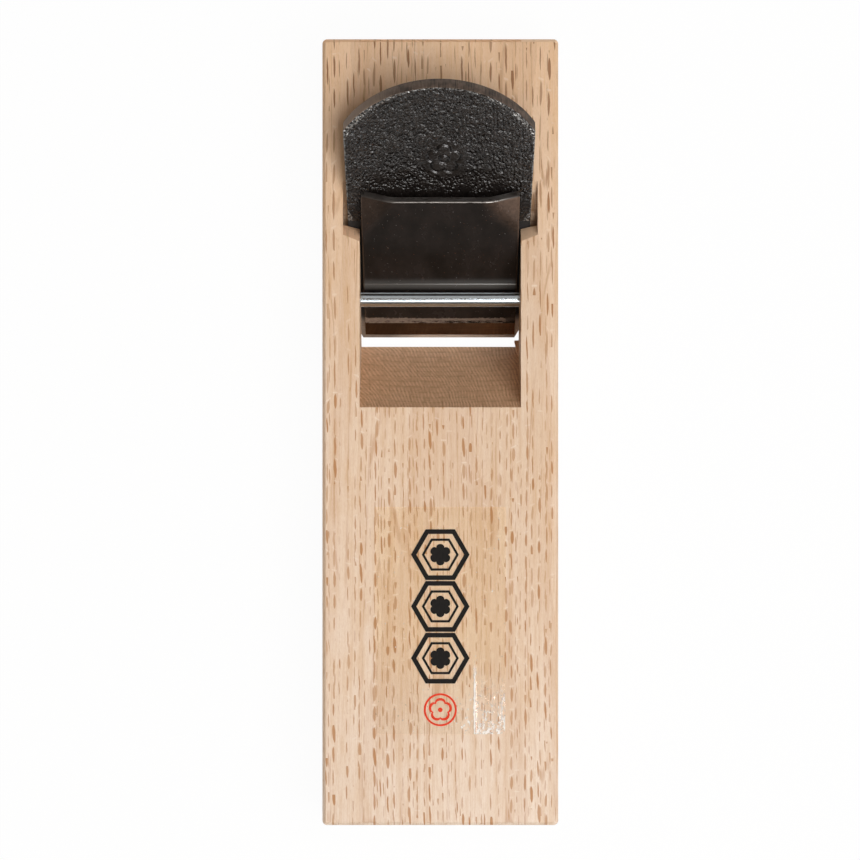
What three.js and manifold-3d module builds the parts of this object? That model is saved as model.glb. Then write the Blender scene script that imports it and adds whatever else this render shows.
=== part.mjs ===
// A Japanese smoothing plane (kanna), which is pulled towards its tail and cuts on the pull.
// Units are millimetres. +Z is up, +Y points to the head of the block and +X is to the right when the
// head points away from the viewer. The origin is the middle of the flat sole.
import * as THREE from "three";
import { mergeVertices } from "three/addons/utils/BufferGeometryUtils.js";
import Module from "manifold-3d";

const wasm = await Module();
wasm.setup();

// The block, one piece of oak.
const blockLength = 200;
const blockWidth = 60;
const blockHeight = 28;
const blockChamfer = 0.8; // on the edges of the sole and of the top face
const blockCornerRadius = 1.2; // on the four upright edges

// The bed that the blade lies on, and the throat that the shavings leave by.
const bedRisePerRun = 0.8; // the usual slope of eight in ten
const bedTopY = 63.8; // where the bed meets the top face
const throatWidth = 41;
const throatTopY = 6.3; // where the front wall meets the top face
const mouthFrontY = 22.3; // where the front wall meets the sole

// The cutting blade: a soft iron body with a hard steel plate welded to its face.
const bladeLength = 78.5; // from the cutting edge to the top of the head's arc
const bladeEdgeThickness = 3.5;
const bladeHeadThickness = 3.8; // the blade is a slight wedge
const bladeShoulderWidth = 48.2; // the nominal width is 48 mm
const bladeSideTaperShare = 0.032; // each side draws in by this share of the way down to the edge
const bladeHeadRadius = 26.5;
const bladeBevelAngle = THREE.MathUtils.degToRad(29);
const cuttingEdgeWidth = 39.4;
const cornerCutRise = 5.4; // the ground-off corners reach this far up the sides
const bladeSteelLength = 37.5;
const bladeSteelThickness = 1;
const faceHollowDepth = 0.35;
const faceHollowRim = 3; // flat steel left beside the hollow, at the edge and at the sides

// How the blade sits in the block.
const restEdgeHeight = 1.6; // the edge is drawn back from the sole
const cutTravel = 3; // how far the blade can be driven down from rest
const bedGap = 0.3;
const grooveRoofGap = 0.3;
const grooveSideClearance = 0.65; // beside the blade's shoulders, which are its widest place
const grooveEndClearance = 0.5;
const bladeSideShift = -0.3; // it stands a little left of the middle
const grooveLipOuter = 36.4; // distance of the groove's lip from the cutting edge, at the groove's wall
const grooveLipInner = 35.1; // and at the throat

// The chipbreaker: a steel plate on the blade, with two bent corners that hold it up at the back.
const chipLength = 46.2;
const chipTopWidth = 40.3;
const chipEdgeWidth = 38.8;
const chipThickness = 2.35;
const chipTilt = THREE.MathUtils.degToRad(3.7);
const chipSetBack = 1.2; // from the cutting edge, at rest
const chipSetTravel = 1; // how far it can be driven down the blade from rest
const chipFaceGap = 0.3;
const chipEdgeLand = 0.08;
const chipCornerRadius = 0.8;
const cornerRoundShare = 0.98; // the rounding ends just short of square, which leaves a top edge
const chipBevelLength = 3.95; // the polished bevel at the edge
const chipBevelHeight = 0.95; // all heights are from the underside's edge
const chipGroundLength = 6.4; // the ground strip behind it ends here
const chipGroundHeight = 1.45;
const chipShoulderLength = 19; // where the flat back begins
const earWidth = 9.1; // the fold line's reach across the top edge
const earLength = 11; // and down the side
const earBendShare = 0.3; // the rounded part of the fold
const chipSteelLength = 26;
const chipSteelThickness = 0.75;
const chipHollowDepth = 0.2;
const chipHollowRim = 3;

// Between the steel and the iron of either blade.
const weldGap = 0.3;

// The steel pin that the chipbreaker wedges under.
const pinDiameter = 3.8;
const pinY = 34.1;
const pinHoleClearance = 0.12;
const pinWedgeClearance = 0.1; // left over the chipbreaker when everything is driven home
const pinRecess = 0.8; // each end stands this far below the block's side
const pinEndChamfer = 0.4;

// The clear label on the top face.
const labelWidth = 33;
const labelLength = 57.6;
const labelThickness = 0.1;
const labelTailMargin = 23.2; // from the block's tail end
const labelCornerRadius = 1.5;

// Shape fineness.
const overrun = 5; // how far a cutter runs past what it cuts
const mergeTolerance = 1e-4;
const arcSegments = 40;
const pinSegments = 32;
const cornerSegments = 4;
const hollowRings = 6;
const earColumns = 28;
const earRows = 12;
const chipCornerRows = 4;
const chipSlopeRows = 2; // rows on each flat stretch of the chipbreaker's top

const AXIS_X = new THREE.Vector3(1, 0, 0);
const AXIS_Y = new THREE.Vector3(0, 1, 0);
const AXIS_Z = new THREE.Vector3(0, 0, 1);

const bedAngle = Math.atan(bedRisePerRun);
const bedSoleY = bedTopY - blockHeight / bedRisePerRun;
const bladeWedge = (bladeHeadThickness - bladeEdgeThickness) / bladeLength;
const wedgeAngle = Math.atan(bladeWedge);

// The cutting edge along the bed, measured from where the bed meets the sole.
const edgeAboveBed = bedGap + bladeEdgeThickness;
const edgeAlongBed = (restEdgeHeight - edgeAboveBed * Math.cos(bedAngle)) / Math.sin(bedAngle);

// Joining and cutting

function solidFrom(geometry) {
  const bare = geometry.index ? geometry.toNonIndexed() : geometry.clone();
  bare.deleteAttribute("normal");
  bare.deleteAttribute("uv");
  const merged = mergeVertices(bare, mergeTolerance);
  return new wasm.Manifold(
    new wasm.Mesh({
      numProp: 3,
      vertProperties: merged.attributes.position.array,
      triVerts: new Uint32Array(merged.index.array),
    }),
  );
}

function geometryFrom(solid) {
  const { numProp, numVert, vertProperties, triVerts } = solid.getMesh();
  const positions = new Float32Array(numVert * 3);
  for (let v = 0; v < numVert; v++) {
    positions.set(vertProperties.subarray(v * numProp, v * numProp + 3), v * 3);
  }
  const geometry = new THREE.BufferGeometry();
  geometry.setAttribute("position", new THREE.BufferAttribute(positions, 3));
  geometry.setIndex(new THREE.BufferAttribute(new Uint32Array(triVerts), 1));
  const flat = geometry.toNonIndexed();
  flat.computeVertexNormals();
  return flat;
}

// A profile of [y, z] points run across X, with its middle on X = 0.
function prismAcross(profile, width) {
  const shape = new THREE.Shape(profile.map(([y, z]) => new THREE.Vector2(y, z)));
  const geometry = new THREE.ExtrudeGeometry(shape, { depth: width, bevelEnabled: false });
  geometry.translate(0, 0, -width / 2);
  geometry.applyMatrix4(new THREE.Matrix4().makeBasis(AXIS_Y, AXIS_Z, AXIS_X));
  return solidFrom(geometry);
}

// A shape in X and Y run upwards between two heights.
function prismUp(shape, low, high, curveSegments = arcSegments) {
  const geometry = new THREE.ExtrudeGeometry(shape, {
    depth: high - low,
    bevelEnabled: false,
    curveSegments,
  });
  geometry.translate(0, 0, low);
  return solidFrom(geometry);
}

// A shallow dish, as a cutter whose rim lies on Z = 0 and whose middle is the given depth below it.
function dishCutter(reachX, reachY, depth) {
  const profile = [];
  for (let ring = 0; ring <= hollowRings; ring++) {
    const share = ring / hollowRings;
    profile.push(new THREE.Vector2(share, -depth * (1 - share * share)));
  }
  profile.push(new THREE.Vector2(1, depth), new THREE.Vector2(0, depth));
  const geometry = new THREE.LatheGeometry(profile, arcSegments);
  geometry.rotateX(Math.PI / 2);
  geometry.scale(reachX, reachY, 1);
  return solidFrom(geometry);
}

// A closed sheet over a grid: columns run from -1 to 1 across the half width of each row.
function sheetSolid(columns, rows, halfWidth, top, bottom) {
  const positions = [];
  for (const surface of [top, bottom]) {
    for (const y of rows) {
      for (const column of columns) {
        const x = column * halfWidth(y);
        positions.push(x, y, surface(x, y));
      }
    }
  }
  const wide = columns.length;
  const layer = wide * rows.length;
  const at = (side, row, column) => side * layer + row * wide + column;
  const index = [];
  const quad = (a, b, c, d) => index.push(a, b, c, a, c, d);
  for (let r = 0; r + 1 < rows.length; r++) {
    for (let c = 0; c + 1 < wide; c++) {
      quad(at(0, r, c), at(0, r, c + 1), at(0, r + 1, c + 1), at(0, r + 1, c));
      quad(at(1, r, c), at(1, r + 1, c), at(1, r + 1, c + 1), at(1, r, c + 1));
    }
    quad(at(1, r, 0), at(0, r, 0), at(0, r + 1, 0), at(1, r + 1, 0));
    quad(at(1, r, wide - 1), at(1, r + 1, wide - 1), at(0, r + 1, wide - 1), at(0, r, wide - 1));
  }
  const last = rows.length - 1;
  for (let c = 0; c + 1 < wide; c++) {
    quad(at(1, 0, c), at(1, 0, c + 1), at(0, 0, c + 1), at(0, 0, c));
    quad(at(1, last, c), at(0, last, c), at(0, last, c + 1), at(1, last, c + 1));
  }
  const geometry = new THREE.BufferGeometry();
  geometry.setAttribute("position", new THREE.Float32BufferAttribute(positions, 3));
  geometry.setIndex(index);
  return solidFrom(geometry);
}

function roundedRectangle(width, length, radius) {
  const shape = new THREE.Shape();
  const x = width / 2 - radius;
  const y = length / 2 - radius;
  shape.absarc(x, y, radius, 0, Math.PI / 2, false);
  shape.absarc(-x, y, radius, Math.PI / 2, Math.PI, false);
  shape.absarc(-x, -y, radius, Math.PI, 1.5 * Math.PI, false);
  shape.absarc(x, -y, radius, 1.5 * Math.PI, 2 * Math.PI, false);
  return shape;
}

function part(name, solid, material) {
  const mesh = new THREE.Mesh(geometryFrom(solid), material);
  mesh.name = name;
  return mesh;
}

// Where things are along the blade

// The head's arc meets each side in a blunt corner, the shoulder.
const headCentreY = bladeLength - bladeHeadRadius;
const shoulderAngle = Math.acos(bladeShoulderWidth / 2 / bladeHeadRadius);
const shoulderAlongBlade = headCentreY + bladeHeadRadius * Math.sin(shoulderAngle);

function bladeHalfWidth(y) {
  return bladeShoulderWidth / 2 - bladeSideTaperShare * (shoulderAlongBlade - y);
}

// A point on the blade's face in the part's [y, z], with the blade driven down by the given way.
function onBladeFace(along, height, driven) {
  const angle = bedAngle + wedgeAngle;
  const edge = edgeAlongBed - driven;
  return new THREE.Vector2(
    bedSoleY + edge * Math.cos(bedAngle) - edgeAboveBed * Math.sin(bedAngle)
      + along * Math.cos(angle) - height * Math.sin(angle),
    edge * Math.sin(bedAngle) + edgeAboveBed * Math.cos(bedAngle)
      + along * Math.sin(angle) + height * Math.cos(angle),
  );
}

// The chipbreaker's underside and top, above the blade's face, along the face from its own edge.

const chipSlope = Math.tan(chipTilt);
const chipShoulderHeight = chipFaceGap + chipShoulderLength * chipSlope + chipThickness;

function chipHalfWidth(y) {
  const half = THREE.MathUtils.lerp(chipEdgeWidth, chipTopWidth, y / chipLength) / 2;
  const intoCorner = Math.max(0, y - (chipLength - chipCornerRadius));
  return half - chipCornerRadius + Math.sqrt(chipCornerRadius ** 2 - intoCorner ** 2);
}

// How far a point is past the fold line of its corner: 0 on the line and 1 at the corner's tip.
function earShare(x, y) {
  const across = (Math.abs(x) - (chipTopWidth / 2 - earWidth)) / earWidth;
  const along = (y - (chipLength - earLength)) / earLength;
  return Math.max(0, across + along - 1);
}

// The tips come down to the blade's face, which the flat plate clears by its tilt.
const earDrop = chipLength * chipSlope;

function earFold(x, y) {
  const past = earShare(x, y);
  const half = earBendShare / 2;
  const rounded = past < earBendShare ? (past * past) / (2 * earBendShare) : past - half;
  return (earDrop * rounded) / (1 - half);
}

function chipHollow(x, y) {
  const reachX = chipEdgeWidth / 2 - chipHollowRim;
  const middle = (chipLength - earLength) / 2;
  const reachY = middle - chipHollowRim;
  const share = 1 - (x / reachX) ** 2 - ((y - middle) / reachY) ** 2;
  return chipHollowDepth * Math.max(0, share);
}

function chipBottom(x, y) {
  return chipFaceGap + y * chipSlope - earFold(x, y) + chipHollow(x, y);
}

const chipTopLine = [
  [0, chipFaceGap + chipEdgeLand],
  [chipBevelLength, chipFaceGap + chipBevelHeight],
  [chipGroundLength, chipFaceGap + chipGroundHeight],
  [chipShoulderLength, chipShoulderHeight],
  [chipLength, chipShoulderHeight + (chipLength - chipShoulderLength) * chipSlope],
];

function chipTopHeight(y) {
  const next = Math.max(1, chipTopLine.findIndex(([at]) => y <= at));
  const [y0, z0] = chipTopLine[next - 1];
  const [y1, z1] = chipTopLine[next];
  return THREE.MathUtils.mapLinear(y, y0, y1, z0, z1);
}

function chipTop(x, y) {
  return chipTopHeight(y) - earFold(x, y);
}

// The block, in the part's own frame

const grooveWidth = bladeShoulderWidth + 2 * grooveSideClearance;
const bedEndY = blockHeight / Math.sin(bedAngle) - edgeAlongBed + overrun;

function inBedFrame(solid) {
  const matrix = new THREE.Matrix4().makeRotationX(bedAngle).setPosition(0, bedSoleY, 0);
  return solid.transform(matrix.elements);
}

function throatCutter() {
  const wallRunPerRise = (mouthFrontY - throatTopY) / blockHeight;
  const wallY = (z) => mouthFrontY - z * wallRunPerRise;
  const bedY = (z) => bedSoleY + z / bedRisePerRun;
  const low = -overrun / 2;
  const high = blockHeight + overrun;
  const profile = [
    [wallY(low), low],
    [bedY(low), low],
    [bedY(high), high],
    [wallY(high), high],
  ];
  return prismAcross(profile, throatWidth);
}

// Both side grooves in one cutter, lying in the bed's frame. The middle of it is in the open throat.
function grooveCutter() {
  const cornerRun = bladeHalfWidth(cornerCutRise) - cuttingEdgeWidth / 2;
  const cornerAngle = Math.atan(cornerCutRise / cornerRun);
  const aside = grooveEndClearance / Math.sin(cornerAngle) + Math.abs(bladeSideShift);
  const lowestX = cuttingEdgeWidth / 2 + aside;
  const lowestY = -cutTravel;
  const wallX = grooveWidth / 2;
  const wallStartY = lowestY + (wallX - lowestX) * Math.tan(cornerAngle);
  const plan = new THREE.Shape();
  plan.moveTo(-lowestX, lowestY);
  plan.lineTo(lowestX, lowestY);
  plan.lineTo(wallX, wallStartY);
  plan.lineTo(wallX, bedEndY);
  plan.lineTo(-wallX, bedEndY);
  plan.lineTo(-wallX, wallStartY);
  const roof = (y) => edgeAboveBed + grooveRoofGap + y * bladeWedge;
  const slot = prismAcross(
    [
      [lowestY, 0],
      [bedEndY, 0],
      [bedEndY, roof(bedEndY)],
      [lowestY, roof(lowestY)],
    ],
    blockWidth,
  );
  return slot.intersect(prismUp(plan, -overrun, blockHeight)).translate([0, edgeAlongBed, 0]);
}

// Where the blade enters, the thin lip over each groove is cut back square to the blade.
function grooveMouthCutter() {
  const half = grooveWidth / 2;
  const plan = new THREE.Shape();
  plan.moveTo(-throatWidth / 2, grooveLipInner);
  plan.lineTo(throatWidth / 2, grooveLipInner);
  plan.lineTo(half, grooveLipOuter);
  plan.lineTo(half, bedEndY);
  plan.lineTo(-half, bedEndY);
  plan.lineTo(-half, grooveLipOuter);
  return prismUp(plan, 0, blockHeight).translate([0, edgeAlongBed, 0]);
}

// The pin's middle: it clears the chipbreaker's slope when both blades are driven home.
function pinHeight() {
  const along = chipSetBack - chipSetTravel;
  const low = onBladeFace(
    along + chipGroundLength,
    chipTopHeight(chipGroundLength),
    cutTravel,
  );
  const high = onBladeFace(
    along + chipShoulderLength,
    chipTopHeight(chipShoulderLength),
    cutTravel,
  );
  const slope = high.sub(low);
  const standOff = (pinDiameter / 2 + pinWedgeClearance) / Math.cos(slope.angle());
  return low.y + (pinY - low.x) * (slope.y / slope.x) + standOff;
}

function acrossBlock(geometry) {
  geometry.rotateZ(-Math.PI / 2);
  geometry.translate(0, pinY, pinHeight());
  return solidFrom(geometry);
}

function blockSolid() {
  const plan = roundedRectangle(
    blockWidth - 2 * blockChamfer,
    blockLength - 2 * blockChamfer,
    blockCornerRadius - blockChamfer,
  );
  const geometry = new THREE.ExtrudeGeometry(plan, {
    depth: blockHeight - 2 * blockChamfer,
    bevelThickness: blockChamfer,
    bevelSize: blockChamfer,
    bevelSegments: 1,
    curveSegments: cornerSegments,
  });
  geometry.translate(0, 0, blockChamfer);
  const holeRadius = pinDiameter / 2 + pinHoleClearance;
  const hole = new THREE.CylinderGeometry(
    holeRadius,
    holeRadius,
    blockWidth + overrun,
    pinSegments,
  );
  return solidFrom(geometry)
    .subtract(throatCutter())
    .subtract(inBedFrame(grooveCutter()))
    .subtract(inBedFrame(grooveMouthCutter()))
    .subtract(acrossBlock(hole));
}

function pinSolid() {
  const radius = pinDiameter / 2;
  const half = blockWidth / 2 - pinRecess;
  const profile = [
    [0, -half],
    [radius - pinEndChamfer, -half],
    [radius, pinEndChamfer - half],
    [radius, half - pinEndChamfer],
    [radius - pinEndChamfer, half],
    [0, half],
  ].map(([r, along]) => new THREE.Vector2(r, along));
  return acrossBlock(new THREE.LatheGeometry(profile, pinSegments));
}

function labelSolid() {
  const plan = roundedRectangle(labelWidth, labelLength, labelCornerRadius);
  const top = blockHeight + labelThickness;
  const middleY = labelTailMargin + (labelLength - blockLength) / 2;
  return prismUp(plan, blockHeight, top, cornerSegments).translate([0, middleY, 0]);
}

// The blade, in its own frame: Y runs up from the cutting edge and Z = 0 is its underside

function bladeSolid() {
  const bevelRun = bladeEdgeThickness / Math.tan(bladeBevelAngle);
  const profile = [
    [0, bladeEdgeThickness],
    [bevelRun, 0],
    [bladeLength, 0],
    [bladeLength, bladeHeadThickness],
  ];
  const edgeHalf = cuttingEdgeWidth / 2;
  const plan = new THREE.Shape();
  plan.moveTo(-edgeHalf, 0);
  plan.lineTo(edgeHalf, 0);
  plan.lineTo(bladeHalfWidth(cornerCutRise), cornerCutRise);
  plan.absarc(0, headCentreY, bladeHeadRadius, shoulderAngle, Math.PI - shoulderAngle, false);
  plan.lineTo(-bladeHalfWidth(cornerCutRise), cornerCutRise);
  return prismAcross(profile, 2 * bladeShoulderWidth).intersect(
    prismUp(plan, -overrun, bladeHeadThickness + overrun),
  );
}

// The slab that a face plate takes up, with an allowance added where it meets the iron.
function bladeSteelSlab(allowance) {
  const face = (y) => bladeEdgeThickness + y * bladeWedge;
  const depth = bladeSteelThickness + allowance;
  const end = bladeSteelLength + allowance;
  return prismAcross(
    [
      [-overrun, face(-overrun) - depth],
      [end, face(end) - depth],
      [end, face(end) + overrun],
      [-overrun, face(-overrun) + overrun],
    ],
    2 * bladeShoulderWidth,
  );
}

function faceHollowCutter() {
  const reachX = cuttingEdgeWidth / 2 - faceHollowRim / 2;
  const reachY = (bladeSteelLength - 2 * faceHollowRim) / 2;
  const middle = bladeSteelLength / 2;
  const height = bladeEdgeThickness + middle * bladeWedge;
  return dishCutter(reachX, reachY, faceHollowDepth).translate([0, middle, height]);
}

// The chipbreaker, in the frame of the blade's face: Y runs up from its own edge

// Even steps from one value up to the next, without the last.
function steps(from, to, count) {
  return Array.from({ length: count }, (_, step) => THREE.MathUtils.lerp(from, to, step / count));
}

function chipSolid() {
  const columns = [...steps(-1, 1, earColumns), 1];
  const earStart = chipLength - earLength;
  const cornerStart = chipLength - chipCornerRadius;
  const turns = [...steps(0, Math.PI / 2, chipCornerRows), Math.PI / 2];
  const rows = [
    0,
    chipBevelLength,
    ...steps(chipGroundLength, chipShoulderLength, chipSlopeRows),
    ...steps(chipShoulderLength, earStart, chipSlopeRows),
    ...steps(earStart, cornerStart, earRows),
    ...turns.map((turn) => cornerStart + chipCornerRadius * Math.sin(turn) * cornerRoundShare),
  ];
  return sheetSolid(columns, rows, chipHalfWidth, chipTop, chipBottom);
}

function chipSteelSlab(allowance) {
  const depth = chipSteelThickness + allowance;
  const end = chipSteelLength + allowance;
  const line = (y) => chipFaceGap + y * chipSlope + depth;
  return prismAcross(
    [
      [-overrun, -overrun],
      [end, -overrun],
      [end, line(end)],
      [-overrun, line(-overrun)],
    ],
    2 * chipTopWidth,
  );
}

const tint = (red, green, blue) => new THREE.Color().setRGB(red, green, blue, THREE.SRGBColorSpace);

const oak = new THREE.MeshStandardMaterial({
  color: tint(0.87, 0.75, 0.61),
  roughness: 0.62,
  metalness: 0,
});
const forgedIron = new THREE.MeshStandardMaterial({
  color: tint(0.17, 0.16, 0.15),
  roughness: 0.55,
  metalness: 0.6,
});
const groundSteel = new THREE.MeshStandardMaterial({
  color: tint(0.58, 0.56, 0.54),
  roughness: 0.3,
  metalness: 1,
});
const blackedSteel = new THREE.MeshStandardMaterial({
  color: tint(0.16, 0.14, 0.13),
  roughness: 0.42,
  metalness: 0.7,
});
const polishedSteel = new THREE.MeshStandardMaterial({
  color: tint(0.5, 0.49, 0.48),
  roughness: 0.15,
  metalness: 1,
});
const brightSteel = new THREE.MeshStandardMaterial({
  color: tint(0.75, 0.76, 0.77),
  roughness: 0.25,
  metalness: 1,
});
const clearFilm = new THREE.MeshStandardMaterial({
  color: tint(0.88, 0.78, 0.66),
  roughness: 0.2,
  metalness: 0,
});

const plane = new THREE.Group();
plane.add(
  part("block", blockSolid(), oak),
  part("retaining_pin", pinSolid(), brightSteel),
  part("label_film", labelSolid(), clearFilm),
);

const bed = new THREE.Group();
bed.position.set(0, bedSoleY, 0);
bed.rotation.x = bedAngle;
plane.add(bed);

const blade = new THREE.Group();
blade.position.set(bladeSideShift, edgeAlongBed, bedGap);
bed.add(blade);
const wholeBlade = bladeSolid();
blade.add(
  part("blade_iron_body", wholeBlade.subtract(bladeSteelSlab(weldGap)), forgedIron),
  part(
    "blade_steel_face",
    wholeBlade.intersect(bladeSteelSlab(0)).subtract(faceHollowCutter()),
    groundSteel,
  ),
);

const bladeFace = new THREE.Group();
bladeFace.position.set(-bladeSideShift, 0, bladeEdgeThickness);
bladeFace.rotation.x = wedgeAngle;
blade.add(bladeFace);

const chipbreaker = new THREE.Group();
chipbreaker.position.set(0, chipSetBack, 0);
bladeFace.add(chipbreaker);
const wholeChip = chipSolid();
chipbreaker.add(
  part("chipbreaker_iron_body", wholeChip.subtract(chipSteelSlab(weldGap)), blackedSteel),
  part("chipbreaker_steel_edge", wholeChip.intersect(chipSteelSlab(0)), polishedSteel),
);

export default plane;
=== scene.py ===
import math

import bmesh
import bpy
import numpy as np
from mathutils import Matrix, Vector, noise


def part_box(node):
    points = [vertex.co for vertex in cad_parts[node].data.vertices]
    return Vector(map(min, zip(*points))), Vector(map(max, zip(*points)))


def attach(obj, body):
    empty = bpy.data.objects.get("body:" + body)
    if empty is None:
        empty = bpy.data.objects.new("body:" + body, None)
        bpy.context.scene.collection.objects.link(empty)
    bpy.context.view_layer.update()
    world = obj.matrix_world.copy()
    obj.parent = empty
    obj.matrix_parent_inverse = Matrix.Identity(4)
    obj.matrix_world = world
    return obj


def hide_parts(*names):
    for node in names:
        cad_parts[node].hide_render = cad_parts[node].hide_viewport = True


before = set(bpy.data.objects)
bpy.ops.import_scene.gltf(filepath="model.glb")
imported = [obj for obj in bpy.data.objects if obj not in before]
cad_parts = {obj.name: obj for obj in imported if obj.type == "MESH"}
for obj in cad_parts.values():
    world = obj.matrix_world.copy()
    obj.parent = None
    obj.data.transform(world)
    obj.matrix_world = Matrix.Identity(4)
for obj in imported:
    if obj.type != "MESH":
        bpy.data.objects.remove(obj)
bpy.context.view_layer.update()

# Sizes, in metres. The sizes of the blade and the chipbreaker are those of the solids that they stand for.

MM = 0.001

BED_RISE_PER_RUN = 0.8
BLADE_LENGTH = 78.5 * MM
BLADE_EDGE_THICKNESS = 3.5 * MM
BLADE_HEAD_THICKNESS = 3.8 * MM
BLADE_SHOULDER_HALF = 24.1 * MM
BLADE_SIDE_TAPER_SHARE = 0.032
BLADE_HEAD_RADIUS = 26.5 * MM
BLADE_BEVEL_ANGLE = math.radians(29)
BLADE_SIDE_SHIFT = -0.3 * MM
BLADE_EDGE_RADIUS = 0.25 * MM
CUTTING_EDGE_HALF = 19.7 * MM
CORNER_CUT_RISE = 5.4 * MM
BLADE_STEEL_LENGTH = 37.5 * MM
BLADE_STEEL_THICKNESS = 1.0 * MM
BLADE_STEEL_EDGE_RADIUS = 0.08 * MM
FACE_HOLLOW_DEPTH = 0.35 * MM
FACE_HOLLOW_RIM = 3.0 * MM
PEBBLES_START = 38 * MM
PEBBLES_FADE = 8 * MM
PEBBLES_LEVEL = 0.1 * MM
PEBBLE_HEIGHT, SWELL_HEIGHT, GRIT_HEIGHT = 0.075 * MM, 0.06 * MM, 0.035 * MM
PEBBLE_SIZE, SWELL_SIZE, GRIT_SIZE = MM / 1.15, MM / 0.42, MM / 2.3

BLOSSOM_X = 1.2 * MM
BLOSSOM_Y = 56.5 * MM
BLOSSOM_RADIUS = 4.4 * MM
BLOSSOM_LINE = 0.32 * MM
BLOSSOM_DEPTH = 0.4 * MM
BLOSSOM_NOTCH_SHARE = 0.38
BLOSSOM_HEART_SHARE = 0.26

CHIP_LENGTH = 46.2 * MM
CHIP_TOP_HALF = 20.15 * MM
CHIP_EDGE_HALF = 19.4 * MM
CHIP_THICKNESS = 2.35 * MM
CHIP_TILT = math.radians(3.7)
CHIP_SET_BACK = 1.2 * MM
CHIP_FACE_GAP = 0.3 * MM
CHIP_EDGE_LAND = 0.08 * MM
CHIP_EDGE_RADIUS = 0.35 * MM
CHIP_CORNER_RADIUS = 0.8 * MM
CHIP_BEVEL_LENGTH = 4.1 * MM
CHIP_BEVEL_HEIGHT = 0.95 * MM
CHIP_GROUND_LENGTH = 6.4 * MM
CHIP_GROUND_HEIGHT = 1.45 * MM
CHIP_GROUND_EDGE_RADIUS = 0.05 * MM
CHIP_SHOULDER_LENGTH = 19.0 * MM
CHIP_LAYER_LENGTH = 26.0 * MM
CHIP_LAYER_THICKNESS = 0.75 * MM
BEAD_HEIGHT = 0.12 * MM
BEAD_HALF = 0.14 * MM
EAR_WIDTH = 9.1 * MM
EAR_LENGTH = 11.0 * MM
EAR_BEND_SHARE = 0.3

PIN_CHAMFER = 0.4 * MM
PIN_HIGHLIGHT_ANGLE = math.radians(57)  # from the top towards the head
SEAM = 0.01 * MM  # between two pieces that are welded

HEAD_CHAMFER = 0.7 * MM
EDGE_SOFTENING = 0.28 * MM
SOFT_EDGE_ANGLE = math.radians(25)
WELD_DISTANCE = 0.002 * MM
FLAT_ANGLE = math.radians(0.5)
BLOCK_SHARP_ANGLE = math.radians(20)
PIN_SHARP_ANGLE = math.radians(30)
PLATE_SHARP_ANGLE = math.radians(35)
MOUTH_BAND = 2 * MM
NEAR_OUTSIDE = 2 * MM
AT_SURFACE = 0.1 * MM
CUT_LEAN_SHARE = 0.3  # a face whose normal leans at least this far to the head is a cut one
CUT_RISE_SHARE = 0.1  # and so far up

LABEL_CORNER = 1.5 * MM
LABEL_REST_SHARE = 0.3  # how high the film's underside and its own thickness are, as shares of the solid's
LABEL_THICK_SHARE = 0.4
BLISTER_LEFT = 8.4 * MM
BLISTER_TOP = -59.0 * MM
BLISTER_WAVE = (1.1 * MM, 1.9 * MM)
BLISTER_SIDE = 0.4 * MM
BLISTER_RIDGE_HALF = 0.3 * MM
BLISTER_RUN = 9 * MM
BLISTER_RISE_SHARE = 0.3

MARK_THICKNESS = 0.02 * MM
HEXAGON_RADIUS = 7.6 * MM
HEXAGON_PLACES = (-0.72, 0.28, 1.28)
HEXAGON_BAND_SHARES = ((0.98, 0.8), (0.62, 0.53))
HEXAGON_HEART_SHARE = 0.36
SEAL_DROP = 22.6 * MM
SEAL_RADIUS = 4.2 * MM
SEAL_BAND_SHARE = 0.88
SEAL_PETAL_SHARES = (0.72, 0.56)
SEAL_HEART_SHARE = 0.14
PETAL_NOTCH_SHARE = 0.24

CAMERA_X = -2.62 * MM
CAMERA_Y = 0.55 * MM
CAMERA_HEIGHT = 1028 * MM
SENSOR_WIDTH = 36 * MM
FRAME_PIXELS = 860
PIXELS_PER_UNIT_SLOPE = 3932  # the camera's focal length in pixels of the frame
FLOOR_HALF = 3.0
FLOOR_DROP = 0.2 * MM
FLOOR_WHITE_SHARE = 0.965

# How finely the pieces are cut up

CORNER_STEPS = 4
HEAD_CORNER_STEPS = 3
IRON_COLUMNS, IRON_ROWS, IRON_BACK_ROWS = 230, 200, 12
STEEL_COLUMNS, STEEL_ROWS = 80, 60
CHIP_COLUMNS, CHIP_UNDER_ROWS = 110, 30
CHIP_TOP_ROWS = (4, 10, 16, 50)
LAYER_COLUMNS, LAYER_BEVEL_ROWS, LAYER_UNDER_ROWS = 60, 4, 12
PIN_SIDES, PIN_ROWS = 64, 40
FILM_COLUMNS, FILM_ROWS = 132, 192
PETAL_POINTS = 60
RING_SIDES, DOT_SIDES = 48, 24
FRONT_HALVINGS = 40
FACE, SIDES, BACK, BEVEL = range(4)  # a plate's zones, which are the places of its materials
UPPER_EDGE = BACK

block_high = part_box("block")[1]
BLOCK_TOP = block_high.z
label_low, label_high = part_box("label_film")
LABEL_MIDDLE = (label_low + label_high) / 2
LABEL_HALF = (label_high - label_low) / 2
BLADE_TAPER = (BLADE_HEAD_THICKNESS - BLADE_EDGE_THICKNESS) / BLADE_LENGTH
face_angle = math.atan(BED_RISE_PER_RUN) + math.atan(BLADE_TAPER)
edge_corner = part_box("blade_steel_face")[0]
FACE_FRAME = Matrix.Translation((0, edge_corner.y, edge_corner.z)) @ Matrix.Rotation(face_angle, 4, "X")
BLADE_FRAME = FACE_FRAME @ Matrix.Translation((BLADE_SIDE_SHIFT, 0, 0))
CHIP_FRAME = FACE_FRAME @ Matrix.Translation((0, CHIP_SET_BACK, 0))


# Helpers for node materials

def through(operation):
    """A method that puts its value through a Math node, together with another value if there is one."""
    def method(self, *other):
        return self.nodes.math(operation, self, *other)
    return method


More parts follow.
